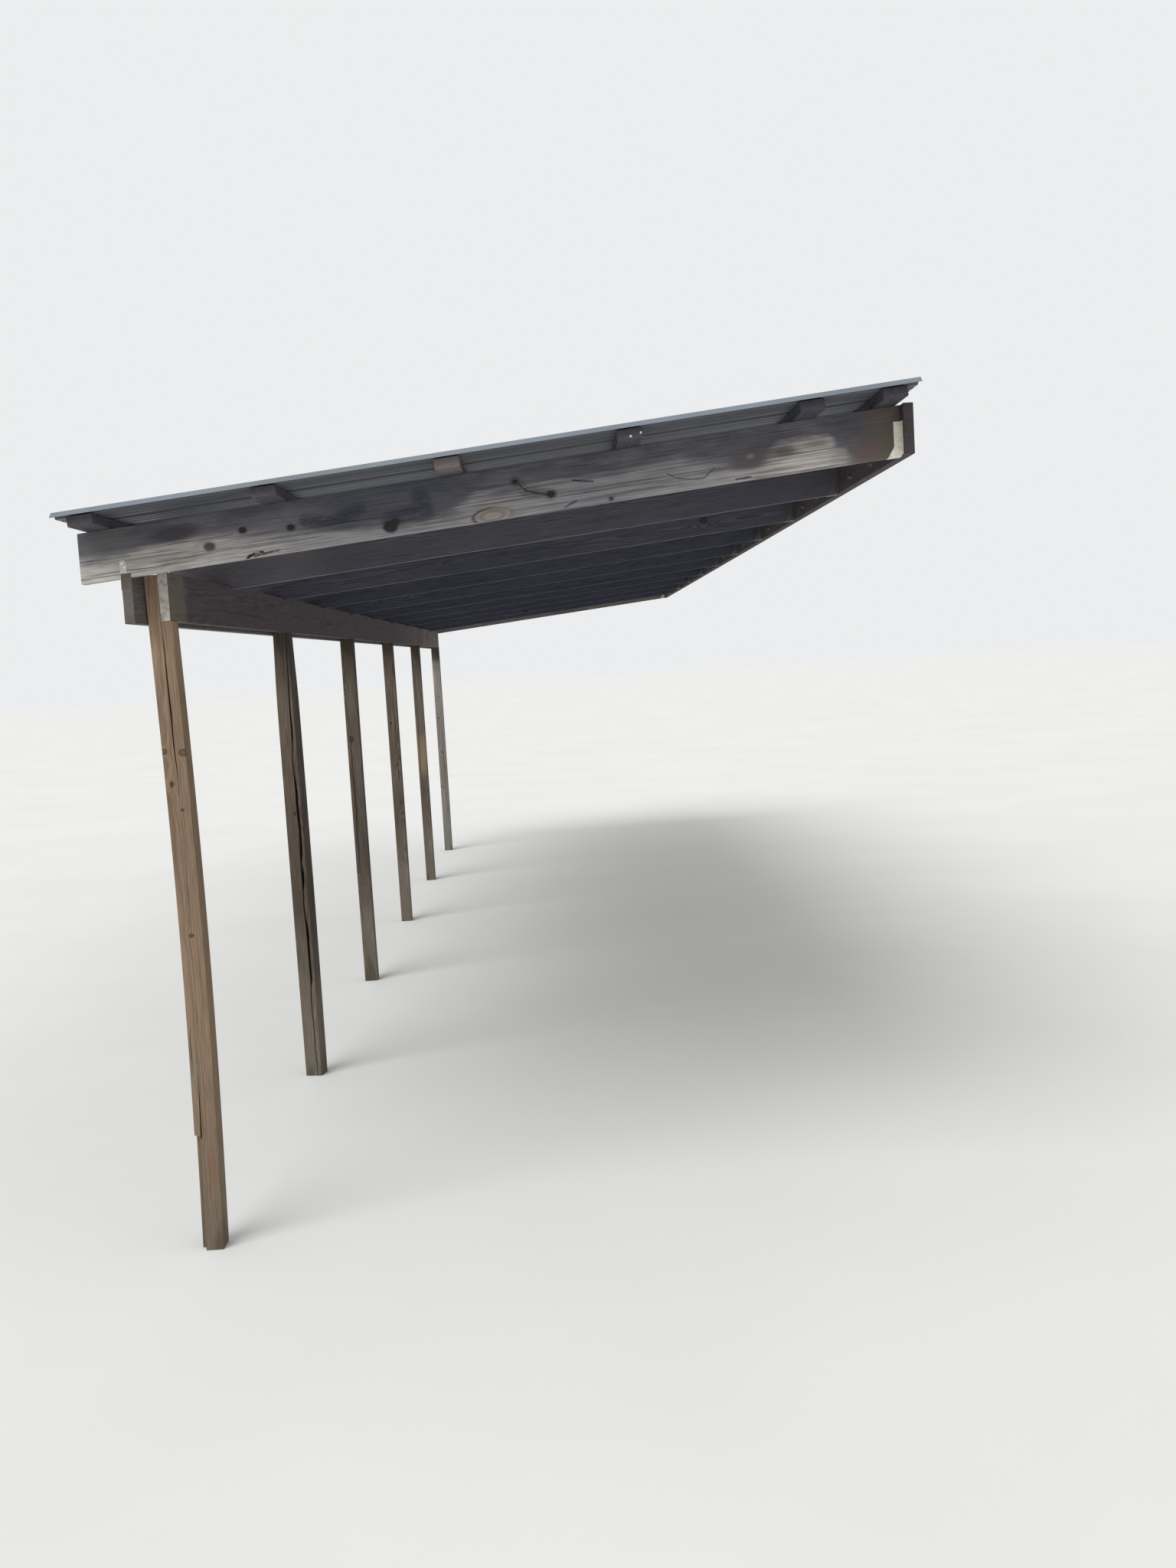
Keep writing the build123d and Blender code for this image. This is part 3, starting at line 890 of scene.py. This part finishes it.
# Drying checks: off the first post's corner, ends, width, depth, drift, widest at its foot
FIRST_CHECKS = [
    (-Y, 0.04947, -1.16, -0.545, 0.006, 0.02, -0.004, False),
    (-Y, 0.0265, -2.53, -2.22, 0.006, 0.026, 0.0, True),
    (-Y, 0.012, -2.24, -2.1, 0.003, 0.01, 0.0, False),
    (X, 0.06, -2.3, -1.2, 0.003, 0.012, 0.0, False),
]
# Most posts' checks: width and depth
POST_CHECK = (0.004, 0.014)

# The second post's long check: off its inner edge, width, depth and drift, how far it runs
# out past the foot, and how far the strip beside it has sprung
LONG_CHECK_IN, LONG_CHECK = 0.02, (0.007, 0.035, 0.004)
PAST_FOOT, SPRUNG = 0.3, 0.008

# The first post's split corner: width, depth and top
SPLIT_CORNER = (0.022, 0.034, -2.53)

# The second post's twist, and the heights where it is held straight and where it is free
TWIST = math.radians(-12)
HELD, FREE = -0.54, -0.95


class CARPORT_OT_posts(bpy.types.Operator):
    """Builds the six posts, with their checks, bows and the first post's split corner"""
    bl_idname = "carport.posts"
    bl_label = "Posts"

    def execute(self, context):
        t = context.scene.carport_timber
        materials = self.materials(t)
        for i, node in enumerate(POSTS):
            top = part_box(node)[1].z
            board = Board(node, "post", POST_SEED + i, t.ease, POST_ROW, top - CRISP_HEAD)
            draw = board.chance.uniform
            if i == 0:
                self.check_first(board)
            elif i == 1:
                self.check_second(board)
            else:
                self.check_plain(board)
            for face, middle, ends in ((Y, board.middle.x, (-2.5, -1.1)),
                                       (-X, board.middle.y, (-2.3, -0.8))):
                board.check(face, middle + draw(-0.02, 0.02), *ends, *POST_CHECK)
            if i == 0:
                board.bend(X * t.near_bow, POST_BOW_PEAK)
            else:
                board.bend((X * draw(-1, 1) + Y * draw(-1, 1)) * t.bow)
            board.lay_grain(*BOXED_HEART)
            if i == 1:
                self.twist(board)
            board.finish(materials[i], "post_timber")
        return {"FINISHED"}

    def materials(self, t):
        """Each post's timber, from the first to the last."""
        # The three numbers after each post's shades multiply its faces towards the ledger: painted
        # shade
        tan, ochre, grey, soil = (tuple(c) for c in (t.tan, t.ochre, t.grey, t.soil))
        stain = ((-2.814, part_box(POSTS[0])[0].y, -2.656), 0.02, 0.07, (122, 84, 68))
        first = timber("Post timber, first", tan, ochre, paint(132, 122, 106), 0.18, ring=0.006,
                       knots=on_face(POSTS[0], FIRST_KNOTS), knot_rate=1.2, streaks=0.3,
                       figure=0.3,
                       marks=post_marks(soil, FIRST_SHADES, (0.84, 0.82, 0.74), stain))
        stain = ((centre(POSTS[4]).x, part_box(POSTS[4])[0].y, -1.66), 0.05, 0.2, (152, 134, 98))
        dark, brown = (
            timber("Post timber, " + word, paint(112, 99, 88), paint(74, 63, 54),
                   paint(116, 109, 101), 0.35, knot_rate=2.4,
                   mildew=(paint(74, 70, 69), 0.35), tint=(0.86, 0.85, 0.78),
                   marks=post_marks(soil, shades, (0.62, 0.6, 0.62), stain))
            for word, shades, stain in (("dark", DARK_SHADES, None), ("brown", BROWN_SHADES, stain))
        )
        middle = centre(POSTS[-1]).x
        knots = on_face(POSTS[-1], [(middle + off, z, radius) for off, z, radius in LAST_KNOTS])
        pale = timber("Post timber, pale", paint(140, 132, 124), paint(100, 92, 85), grey, 0.6,
                      knots=knots, streaks=0.5, knot_rate=3.2,
                      marks=post_marks(soil, LAST_SHADES, (0.6, 0.58, 0.58)))
        return first, dark, dark, brown, brown, pale

    def check_first(self, board):
        """The first post: its outer front corner has split off above its foot, and its checks
        are those in the photo."""
        wide, deep, top = SPLIT_CORNER
        side, front = board.low.x + wide, board.low.y + deep
        board.cut(X, side)
        board.cut(Y, front)
        board.cut(Z, top)
        board.cut(Z, top + 0.006)
        for vert in board.work.verts:
            inside = vert.co.x < side - 1e-4 and vert.co.y < front - 1e-4
            if inside and vert.co.z < top + 1e-4:
                vert.co.x, vert.co.y = side, front
                vert[board.split] = 0.12
        bmesh.ops.dissolve_degenerate(board.work, dist=1e-6, edges=board.work.edges[:])
        for face, off, *rest in FIRST_CHECKS:
            board.check(face, board.low.dot(board.across(face)) + off, *rest)

    def check_second(self, board):
        """The second post: a check as long as the post, and the strip past it has sprung
        away, most at mid height."""
        foot, top = board.low.z - PAST_FOOT, board.high.z - 0.18
        board.check(-Y, board.high.x - LONG_CHECK_IN, foot, board.high.z - 0.08, *LONG_CHECK)
        for vert in board.work.verts:
            in_strip = vert.co.x > board.high.x - LONG_CHECK_IN + 0.003
            if in_strip and foot < vert.co.z < top:
                vert.co.x += SPRUNG * math.sin(math.pi * (vert.co.z - foot) / (top - foot))
        board.check(X, board.low.y + 0.05, -2.6, -1.0, *POST_CHECK)

    def check_plain(self, board):
        """The other posts: a check in the outer face and one in the face towards the ledger."""
        side = board.chance.choice((-1, 1)) * board.chance.uniform(0.008, 0.022)
        start = board.chance.uniform(-2.5, -2.0)
        board.check(-Y, board.middle.x + side, start, start + 1.3, *POST_CHECK)
        board.check(X, board.middle.y - side, start + 0.5, start + 1.5, 0.0035, 0.014)

    def twist(self, board):
        """A post held straight by the beams at its head has twisted below them."""
        for vert in board.work.verts:
            share = min(1, max(0, (HELD - vert.co.z) / (HELD - FREE)))
            turn = Matrix.Rotation(TWIST * share * share * (3 - 2 * share), 3, "Z")
            axis = Vector((board.middle.x, board.middle.y, vert.co.z))
            vert.co = axis + turn @ (vert.co - axis)


class CARPORT_OT_beams(bpy.types.Operator):
    """Builds the doubled beam and the ledger from weathered and sheltered boards"""
    bl_idname = "carport.beams"
    bl_label = "Beams and ledger"

    def execute(self, context):
        t = context.scene.carport_timber
        outer = timber("Beam timber, outer", paint(112, 104, 98), paint(76, 68, 64),
                       paint(122, 119, 114), 0.5, mildew=(tuple(t.slate), 0.55),
                       knot_rate=1.6, marks=outer_beam_marks)
        inner, ledger = (
            timber(name, tuple(t.brown), paint(54, 47, 52), paint(98, 93, 94), 0.25,
                   mildew=(paint(58, 54, 59), 0.6), knot_rate=1.6,
                   marks=marks)
            for name, marks in (("Beam timber, inner", inner_beam_marks), ("Ledger timber", None))
        )
        for i, node in enumerate(BEAMS + LEDGER):
            board = Board(node, "beam", BEAM_SEED + i, t.ease, t.row)
            draw = board.chance.uniform
            for face in (X, -X):
                start = draw(board.low.y + 0.8, board.high.y - 1.5)
                board.check(face, board.middle.z + draw(-0.05, 0.05), start,
                            start + draw(0.6, 1.3), 0.0025, 0.008)
            board.lay_grain(*SIDE_CUT)
            if node in LEDGER:
                board.finish(ledger, "rafter_timber")
            else:
                board.finish(outer if node.startswith("outer") else inner, "beam_timber")
        return {"FINISHED"}


# The first rafter's checks: height above its lower edge, ends, width, depth and drift
NEAR_CHECKS = [(0.012, -2.47, -2.36, 0.004, 0.012, 0.01), (0.075, -2.2, -1.99, 0.003, 0.008, 0.0),
               (0.024, -3.05, -2.7, 0.0025, 0.007, 0.0), (0.098, -1.28, -0.98, 0.0025, 0.008, 0.0)]


class CARPORT_OT_rafters(bpy.types.Operator):
    """Builds the eleven rafters: two weathered end rafters and the sheltered ones between"""
    bl_idname = "carport.rafters"
    bl_label = "Rafters"

    def execute(self, context):
        t = context.scene.carport_timber
        grey, slate = tuple(t.grey), tuple(t.slate)
        near = timber("Rafter timber, near end", paint(138, 131, 124), paint(92, 86, 82), grey,
                      0.75, ring=0.007, knots=on_face(RAFTERS[0], NEAR_KNOTS), knot_rate=0.01,
                      knot_size=0.0, streaks=0.45, marks=near_rafter_marks)
        far = timber("Rafter timber, far end", paint(134, 126, 118), paint(90, 84, 80), grey,
                     0.7, ring=0.007, mildew=(slate, 0.7), streaks=0.5)
        inside = timber("Rafter timber, sheltered", paint(97, 95, 106), paint(62, 62, 74),
                        paint(106, 106, 118), 0.3, mildew=(paint(58, 61, 74), 0.6),
                        marks=inside_marks)
        for i, node in enumerate(RAFTERS):
            board = Board(node, "rafter", RAFTER_SEED + i, t.ease, t.row)
            draw = board.chance.uniform
            if i == 0:
                for rise, *rest in NEAR_CHECKS:
                    board.check(-Y, self.above_edge(rise), *rest)
            else:
                for face in (Y, -Y):
                    start = draw(-2.8, -1.5)
                    board.check(face, self.above_edge(draw(0.04, 0.15)), start,
                                start + draw(0.4, 1.1), 0.003, 0.01)
                board.bend(Y * draw(-1, 1) * t.bow, RAFTER_BOW_PEAK)
            board.lay_grain(*SIDE_CUT)
            board.finish({0: near, len(RAFTERS) - 1: far}.get(i, inside), "rafter_timber")
        return {"FINISHED"}

    def above_edge(self, rise):
        """A height above the rafters' lower edge, measured square to the roof from the origin."""
        return (UNDERSIDE + rise) * math.cos(PITCH)


class CARPORT_OT_purlins(bpy.types.Operator):
    """Builds the flat purlins, with painted light on the third's end"""
    bl_idname = "carport.purlins"
    bl_label = "Purlins"

    def execute(self, context):
        t = context.scene.carport_timber
        inside = timber("Purlin timber", paint(94, 90, 94), paint(60, 57, 62),
                        paint(98, 97, 105), 0.3, mildew=(paint(56, 57, 66), 0.5),
                        marks=purlin_marks)
        for i, node in enumerate(PURLINS):
            board = Board(node, "purlin", PURLIN_SEED + i, t.ease, PURLIN_ROW)
            board.lay_grain(*SIDE_CUT)
            board.finish(inside, "purlin_timber")
        return {"FINISHED"}


# Fixings: radius of the washer or nail head, radius of the hex head, height
ROOF_SCREW = (0.0078, 0.0046, 0.0075)
LEDGER_SCREW = (0.013, 0.0085, 0.012)
NAIL_HEAD = 0.0046

# Ledger screws: spacing, first and last off its ends, clear of a rafter's middle, heights
LEDGER_SCREW_STEP, FIRST_IN, LAST_IN, CLEAR = 0.406, 0.16, 0.1, 0.07
LEDGER_SCREW_RISES = (-0.05, 0.055)

# Nails in a hanger, above its seat: through the flanges, off the rafter's middle, and through
# the sides, off the ledger
FLANGE_OFF, FLANGE_RISES = 0.035, (0.022, 0.062, 0.1)
SIDE_OFF, SIDE_RISES = 0.014, (0.055, 0.1)

# Nails in a tie: through its upright, as (off its outer face, rise), and through its leg
TIE_UPRIGHT_NAILS = ((0.008, 0.037), (0.017, 0.022))
TIE_LEG_OFF, TIE_LEG_RISES = 0.018, (-0.018, -0.044)

# Nails through the beams into each post, off the beam's middle, and nails in the fourth
# purlin's end, as (x, lift)
BEAM_NAIL_RISES = (-0.06, 0.0, 0.06)
PURLIN_NAILS = ((-1.040, 0.010), (-1.003, 0.0174))


def roof_point(x, y, lift):
    """A point lift above the rafters' tops, measured square to the roof."""
    z = RAFTER_TOP_AT_LEDGER + (x - LEDGER_FACE) * RISE
    return Vector((x, y, z)) + ROOF_NORMAL * lift


def add_disc(work, segments, low_radius, high_radius, depth, middle):
    """A short cone about Z, closed at both ends."""
    made = bmesh.ops.create_cone(work, cap_ends=True, segments=segments, radius1=low_radius,
                                 radius2=high_radius, depth=depth)
    bmesh.ops.translate(work, verts=made["verts"], vec=(0, 0, middle))


def hex_screw(washer, head, height):
    """A hex screw on its washer, from the washer's underside up."""
    work = bmesh.new()
    add_disc(work, 14, washer, washer * 0.86, height * 0.3, height * 0.15)
    add_disc(work, 6, head, head * 0.93, height * 0.75, height * 0.67)
    return to_mesh(work, "screw_part")


def nail_head(radius):
    """A round nail head, slightly domed."""
    work = bmesh.new()
    add_disc(work, 10, radius, radius * 0.8, 0.0013, 0.0006)
    crown = [f for f in work.faces if f.normal.z > 0.9]
    bmesh.ops.poke(work, faces=crown, offset=0.0004)
    return to_mesh(work, "nail_part")


class Heads:
    """A mesh of like screws or nails."""

    def __init__(self, part):
        self.work = bmesh.new()
        self.part = part

    def add(self, point, way, turn=0.0):
        """Adds one at a point, with its head looking along way."""
        place = Matrix.Translation(point) @ way.to_track_quat("Z", "Y").to_matrix().to_4x4()
        before = len(self.work.verts)
        self.work.from_mesh(self.part)
        self.work.verts.ensure_lookup_table()
        bmesh.ops.transform(self.work, matrix=place @ Matrix.Rotation(turn, 4, "Z"),
                            verts=self.work.verts[before:])


class CARPORT_OT_metal(bpy.types.Operator):
    """Finishes the roofing and the folded hangers and ties, and sets their screws and nails"""
    bl_idname = "carport.metal"
    bl_label = "Roofing and fittings"

    def execute(self, context):
        roof = context.scene.carport_roof
        sheet = sheet_metal(roof)
        # Both get painted shade between the end rafters (sheltered is True)
        zinc = galvanised("Galvanised steel", paint(226, 225, 209), sheltered=True)
        ties = galvanised("Galvanised ties", paint(180, 180, 172), 0.3, True)
        for node in SHEETS:
            self.dress(node, sheet)
        self.dress("rafter_hangers", zinc)
        self.dress("rafter_ties", ties)
        chance = random.Random(FIXING_SEED)
        screw_metal = galvanised("Screw zinc", paint(150, 156, 156), 0.5)
        put_piece(self.roof_screws(chance, roof.screw_off_rib), "roof_screws", screw_metal)
        nails = Heads(nail_head(NAIL_HEAD))
        self.nail_hangers(nails)
        self.nail_beams(nails, chance)
        self.nail_ties(nails)
        for x, lift in PURLIN_NAILS:
            nails.add(roof_point(x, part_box(PURLINS[3])[0].y, lift), -Y)
        put_piece(nails.work, "nails", zinc)
        put_piece(self.ledger_screws(chance), "ledger_screws", zinc)
        return {"FINISHED"}

    def dress(self, node, material):
        """Gives a CAD node its material."""
        piece = frame["nodes"][node]
        for slot in piece.material_slots:
            slot.material = material
        if not piece.material_slots:
            piece.data.materials.append(material)

    def roof_screws(self, chance, off_rib):
        """A row of screws over each purlin, one beside each rib."""
        screws = Heads(hex_screw(*ROOF_SCREW))
        low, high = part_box(SHEETS[0])
        for node in PURLINS:
            x = centre(node).x
            y = low.y + RIB_HALF + off_rib
            while y < min(high.y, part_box(node)[1].y) - 0.02:
                point = roof_point(x + chance.uniform(-0.008, 0.008),
                                   y + chance.uniform(-0.003, 0.003), BOARD + SHEET_STEEL)
                screws.add(point, ROOF_NORMAL, chance.uniform(0, 1))
                y += RIB_PITCH
        return screws.work

    def ledger_screws(self, chance):
        """Pairs of screws through the ledger, between the rafters."""
        screws = Heads(hex_screw(*LEDGER_SCREW))
        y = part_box(LEDGER[0])[0].y + FIRST_IN
        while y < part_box(LEDGER[-1])[1].y - LAST_IN:
            if all(abs(centre(n).y - y) > CLEAR for n in RAFTERS):
                for rise in LEDGER_SCREW_RISES:
                    screws.add(Vector((LEDGER_FACE, y, rise)), -X, chance.uniform(0, 1))
            y += LEDGER_SCREW_STEP
        return screws.work

    def nail_hangers(self, nails):
        """Nails through each hanger's flanges into the ledger and its sides into the rafter."""
        seat = RAFTER_TOP_AT_LEDGER - PLUMB_HEIGHT
        for node in RAFTERS:
            for side in (-1, 1):
                y = centre(node).y + side * FLANGE_OFF
                for rise in FLANGE_RISES:
                    nails.add(Vector((LEDGER_FACE - STEEL, y, seat + rise)), -X)
                y = centre(node).y + side * (BOARD / 2 + STEEL)
                for rise in SIDE_RISES:
                    nails.add(Vector((LEDGER_FACE - SIDE_OFF, y, seat + rise)), Y * side)

    def nail_beams(self, nails, chance):
        """Three nails through each beam into each post."""
        for node in POSTS:
            for beam, face, end in (("inner_beam_1", X, 1), ("outer_beam_1", -X, 0)):
                for rise in BEAM_NAIL_RISES:
                    y = centre(node).y + chance.uniform(-0.025, 0.025)
                    z = centre(beam).z + rise + chance.uniform(-0.008, 0.008)
                    nails.add(Vector((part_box(beam)[end].x, y, z)), face)

    def nail_ties(self, nails):
        """Two nails through each tie into its rafter, and two into the beam."""
        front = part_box("rafter_ties")[0].x
        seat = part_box(POSTS[0])[1].z
        for i, node in enumerate(RAFTERS):
            side = 1 if i == len(RAFTERS) - 1 else -1
            leg = 1 if i == 0 else -1
            y = centre(node).y + side * (BOARD / 2 + STEEL)
            for x, rise in TIE_UPRIGHT_NAILS:
                nails.add(Vector((front + x, y, seat + rise)), Y * side)
            y = centre(node).y + side * BOARD / 2 + leg * TIE_LEG_OFF
            for rise in TIE_LEG_RISES:
                nails.add(Vector((front, y, seat + rise)), -X)


# The stage: floor, where the lamps stand, how soft they are, and the camera with its turns
# from looking straight down: yaw, pitch and roll
FLOOR_RADIUS = 160
KEY_FROM, KEY_SOFT = (-0.55, -0.75, 1.0), 0.7
FILL_FROM, FILL_SOFT = (0.9, -0.5, 0.6), 1.2
CAMERA_AT = Vector((-1.3332, -11.4384, -0.7612))
CAMERA_TURNS = ((-0.0134, "Z"), (math.pi / 2 - 0.0878, "X"), (-0.0600, "Z"))
LENS, FAR_CLIP = 32.87, 400


class CARPORT_OT_stage(bpy.types.Operator):
    """Sets the floor, the even light, the soft lamps and the camera"""
    bl_idname = "carport.stage"
    bl_label = "Stage"

    def execute(self, context):
        scene = context.scene
        s = scene.carport_stage
        scene.view_settings.view_transform = "Standard"
        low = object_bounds()[0]
        work = bmesh.new()
        bmesh.ops.create_circle(work, cap_ends=True, segments=64, radius=FLOOR_RADIUS)
        bmesh.ops.translate(work, verts=work.verts[:], vec=(low.x / 2, 0, low.z))
        data = to_mesh(work, "floor")
        floor = bpy.data.objects.new("floor", data)
        scene.collection.objects.link(floor)
        floor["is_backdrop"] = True
        f = Finish("Studio floor", specular=0.1)
        speck = f.step(f.noise(f.place, (0.6, 0.6, 0.6), 3), 0.3, 0.7)
        base = f.mix(speck, tuple(s.floor), tone(s.floor, 0.97))
        data.materials.append(f.finish(base, 0.9))
        self.light(scene, s)
        self.lamp(scene, "key", KEY_FROM, s.key, KEY_SOFT)
        self.lamp(scene, "fill", FILL_FROM, s.fill, FILL_SOFT)
        self.camera(scene)
        return {"FINISHED"}

    def light(self, scene, s):
        """Even light on the object, and the backdrop for what the camera and gloss see."""
        world = bpy.data.worlds.new("Studio light")
        world.use_nodes = True
        scene.world = world
        nodes, links = world.node_tree.nodes, world.node_tree.links
        nodes.clear()
        rays = nodes.new("ShaderNodeLightPath").outputs
        seen = rays["Is Camera Ray"]
        for also in (rays["Is Glossy Ray"], rays["Is Transmission Ray"]):
            either = nodes.new("ShaderNodeMath")
            either.operation = "MAXIMUM"
            links.new(seen, either.inputs[0])
            links.new(also, either.inputs[1])
            seen = either.outputs[0]
        mix = nodes.new("ShaderNodeMixShader")
        links.new(seen, mix.inputs[0])
        for k, (shade, level) in enumerate((((1, 1, 1), s.sky), (s.backdrop, 1.0))):
            back = nodes.new("ShaderNodeBackground")
            back.inputs[0].default_value = (*shade, 1)
            back.inputs[1].default_value = level
            links.new(back.outputs[0], mix.inputs[k + 1])
        out = nodes.new("ShaderNodeOutputWorld")
        links.new(mix.outputs[0], out.inputs[0])

    def lamp(self, scene, name, where, level, soft):
        data = bpy.data.lights.new(name, "SUN")
        data.energy = level
        data.angle = soft
        lamp = bpy.data.objects.new(name, data)
        lamp.rotation_euler = Vector(where).to_track_quat("Z", "Y").to_euler()
        scene.collection.objects.link(lamp)

    def camera(self, scene):
        """The photo's viewpoint."""
        data = bpy.data.cameras.new("camera")
        data.lens = LENS
        data.clip_end = FAR_CLIP
        camera = bpy.data.objects.new("camera", data)
        place = Matrix.Translation(CAMERA_AT)
        for angle, axis in CAMERA_TURNS:
            place = place @ Matrix.Rotation(angle, 4, axis)
        camera.matrix_world = place
        scene.collection.objects.link(camera)
        scene.camera = camera


class CARPORT_PT_panel(bpy.types.Panel):
    bl_idname = "CARPORT_PT_panel"
    bl_label = "Lean-to Carport"
    bl_space_type = "VIEW_3D"
    bl_region_type = "UI"
    bl_category = "Carport"

    def draw(self, context):
        for group in (context.scene.carport_timber, context.scene.carport_roof,
                      context.scene.carport_stage):
            for name in group.__annotations__:
                self.layout.prop(group, name)
        for operator in OPERATORS:
            self.layout.operator(operator.bl_idname)


OPERATORS = (CARPORT_OT_posts, CARPORT_OT_beams, CARPORT_OT_rafters, CARPORT_OT_purlins,
             CARPORT_OT_metal, CARPORT_OT_stage)
SETTINGS = {"carport_timber": TimberSettings, "carport_roof": RoofSettings,
            "carport_stage": StageSettings}


def register():
    for kind in (*SETTINGS.values(), *OPERATORS, CARPORT_PT_panel):
        bpy.utils.register_class(kind)
    for name, kind in SETTINGS.items():
        setattr(bpy.types.Scene, name, PointerProperty(type=kind))


def unregister():
    for name in SETTINGS:
        delattr(bpy.types.Scene, name)
    for kind in reversed((*SETTINGS.values(), *OPERATORS, CARPORT_PT_panel)):
        bpy.utils.unregister_class(kind)


def main():
    kept = {o.name for o in (*frame["nodes"].values(), *frame["bodies"].values())}
    for thing in [o for o in bpy.data.objects if o.name not in kept]:
        bpy.data.objects.remove(thing)
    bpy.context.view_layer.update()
    register()
    bpy.ops.carport.posts()
    bpy.ops.carport.beams()
    bpy.ops.carport.rafters()
    bpy.ops.carport.purlins()
    bpy.ops.carport.metal()
    bpy.ops.carport.stage()


if __name__ == "__main__":
    main()
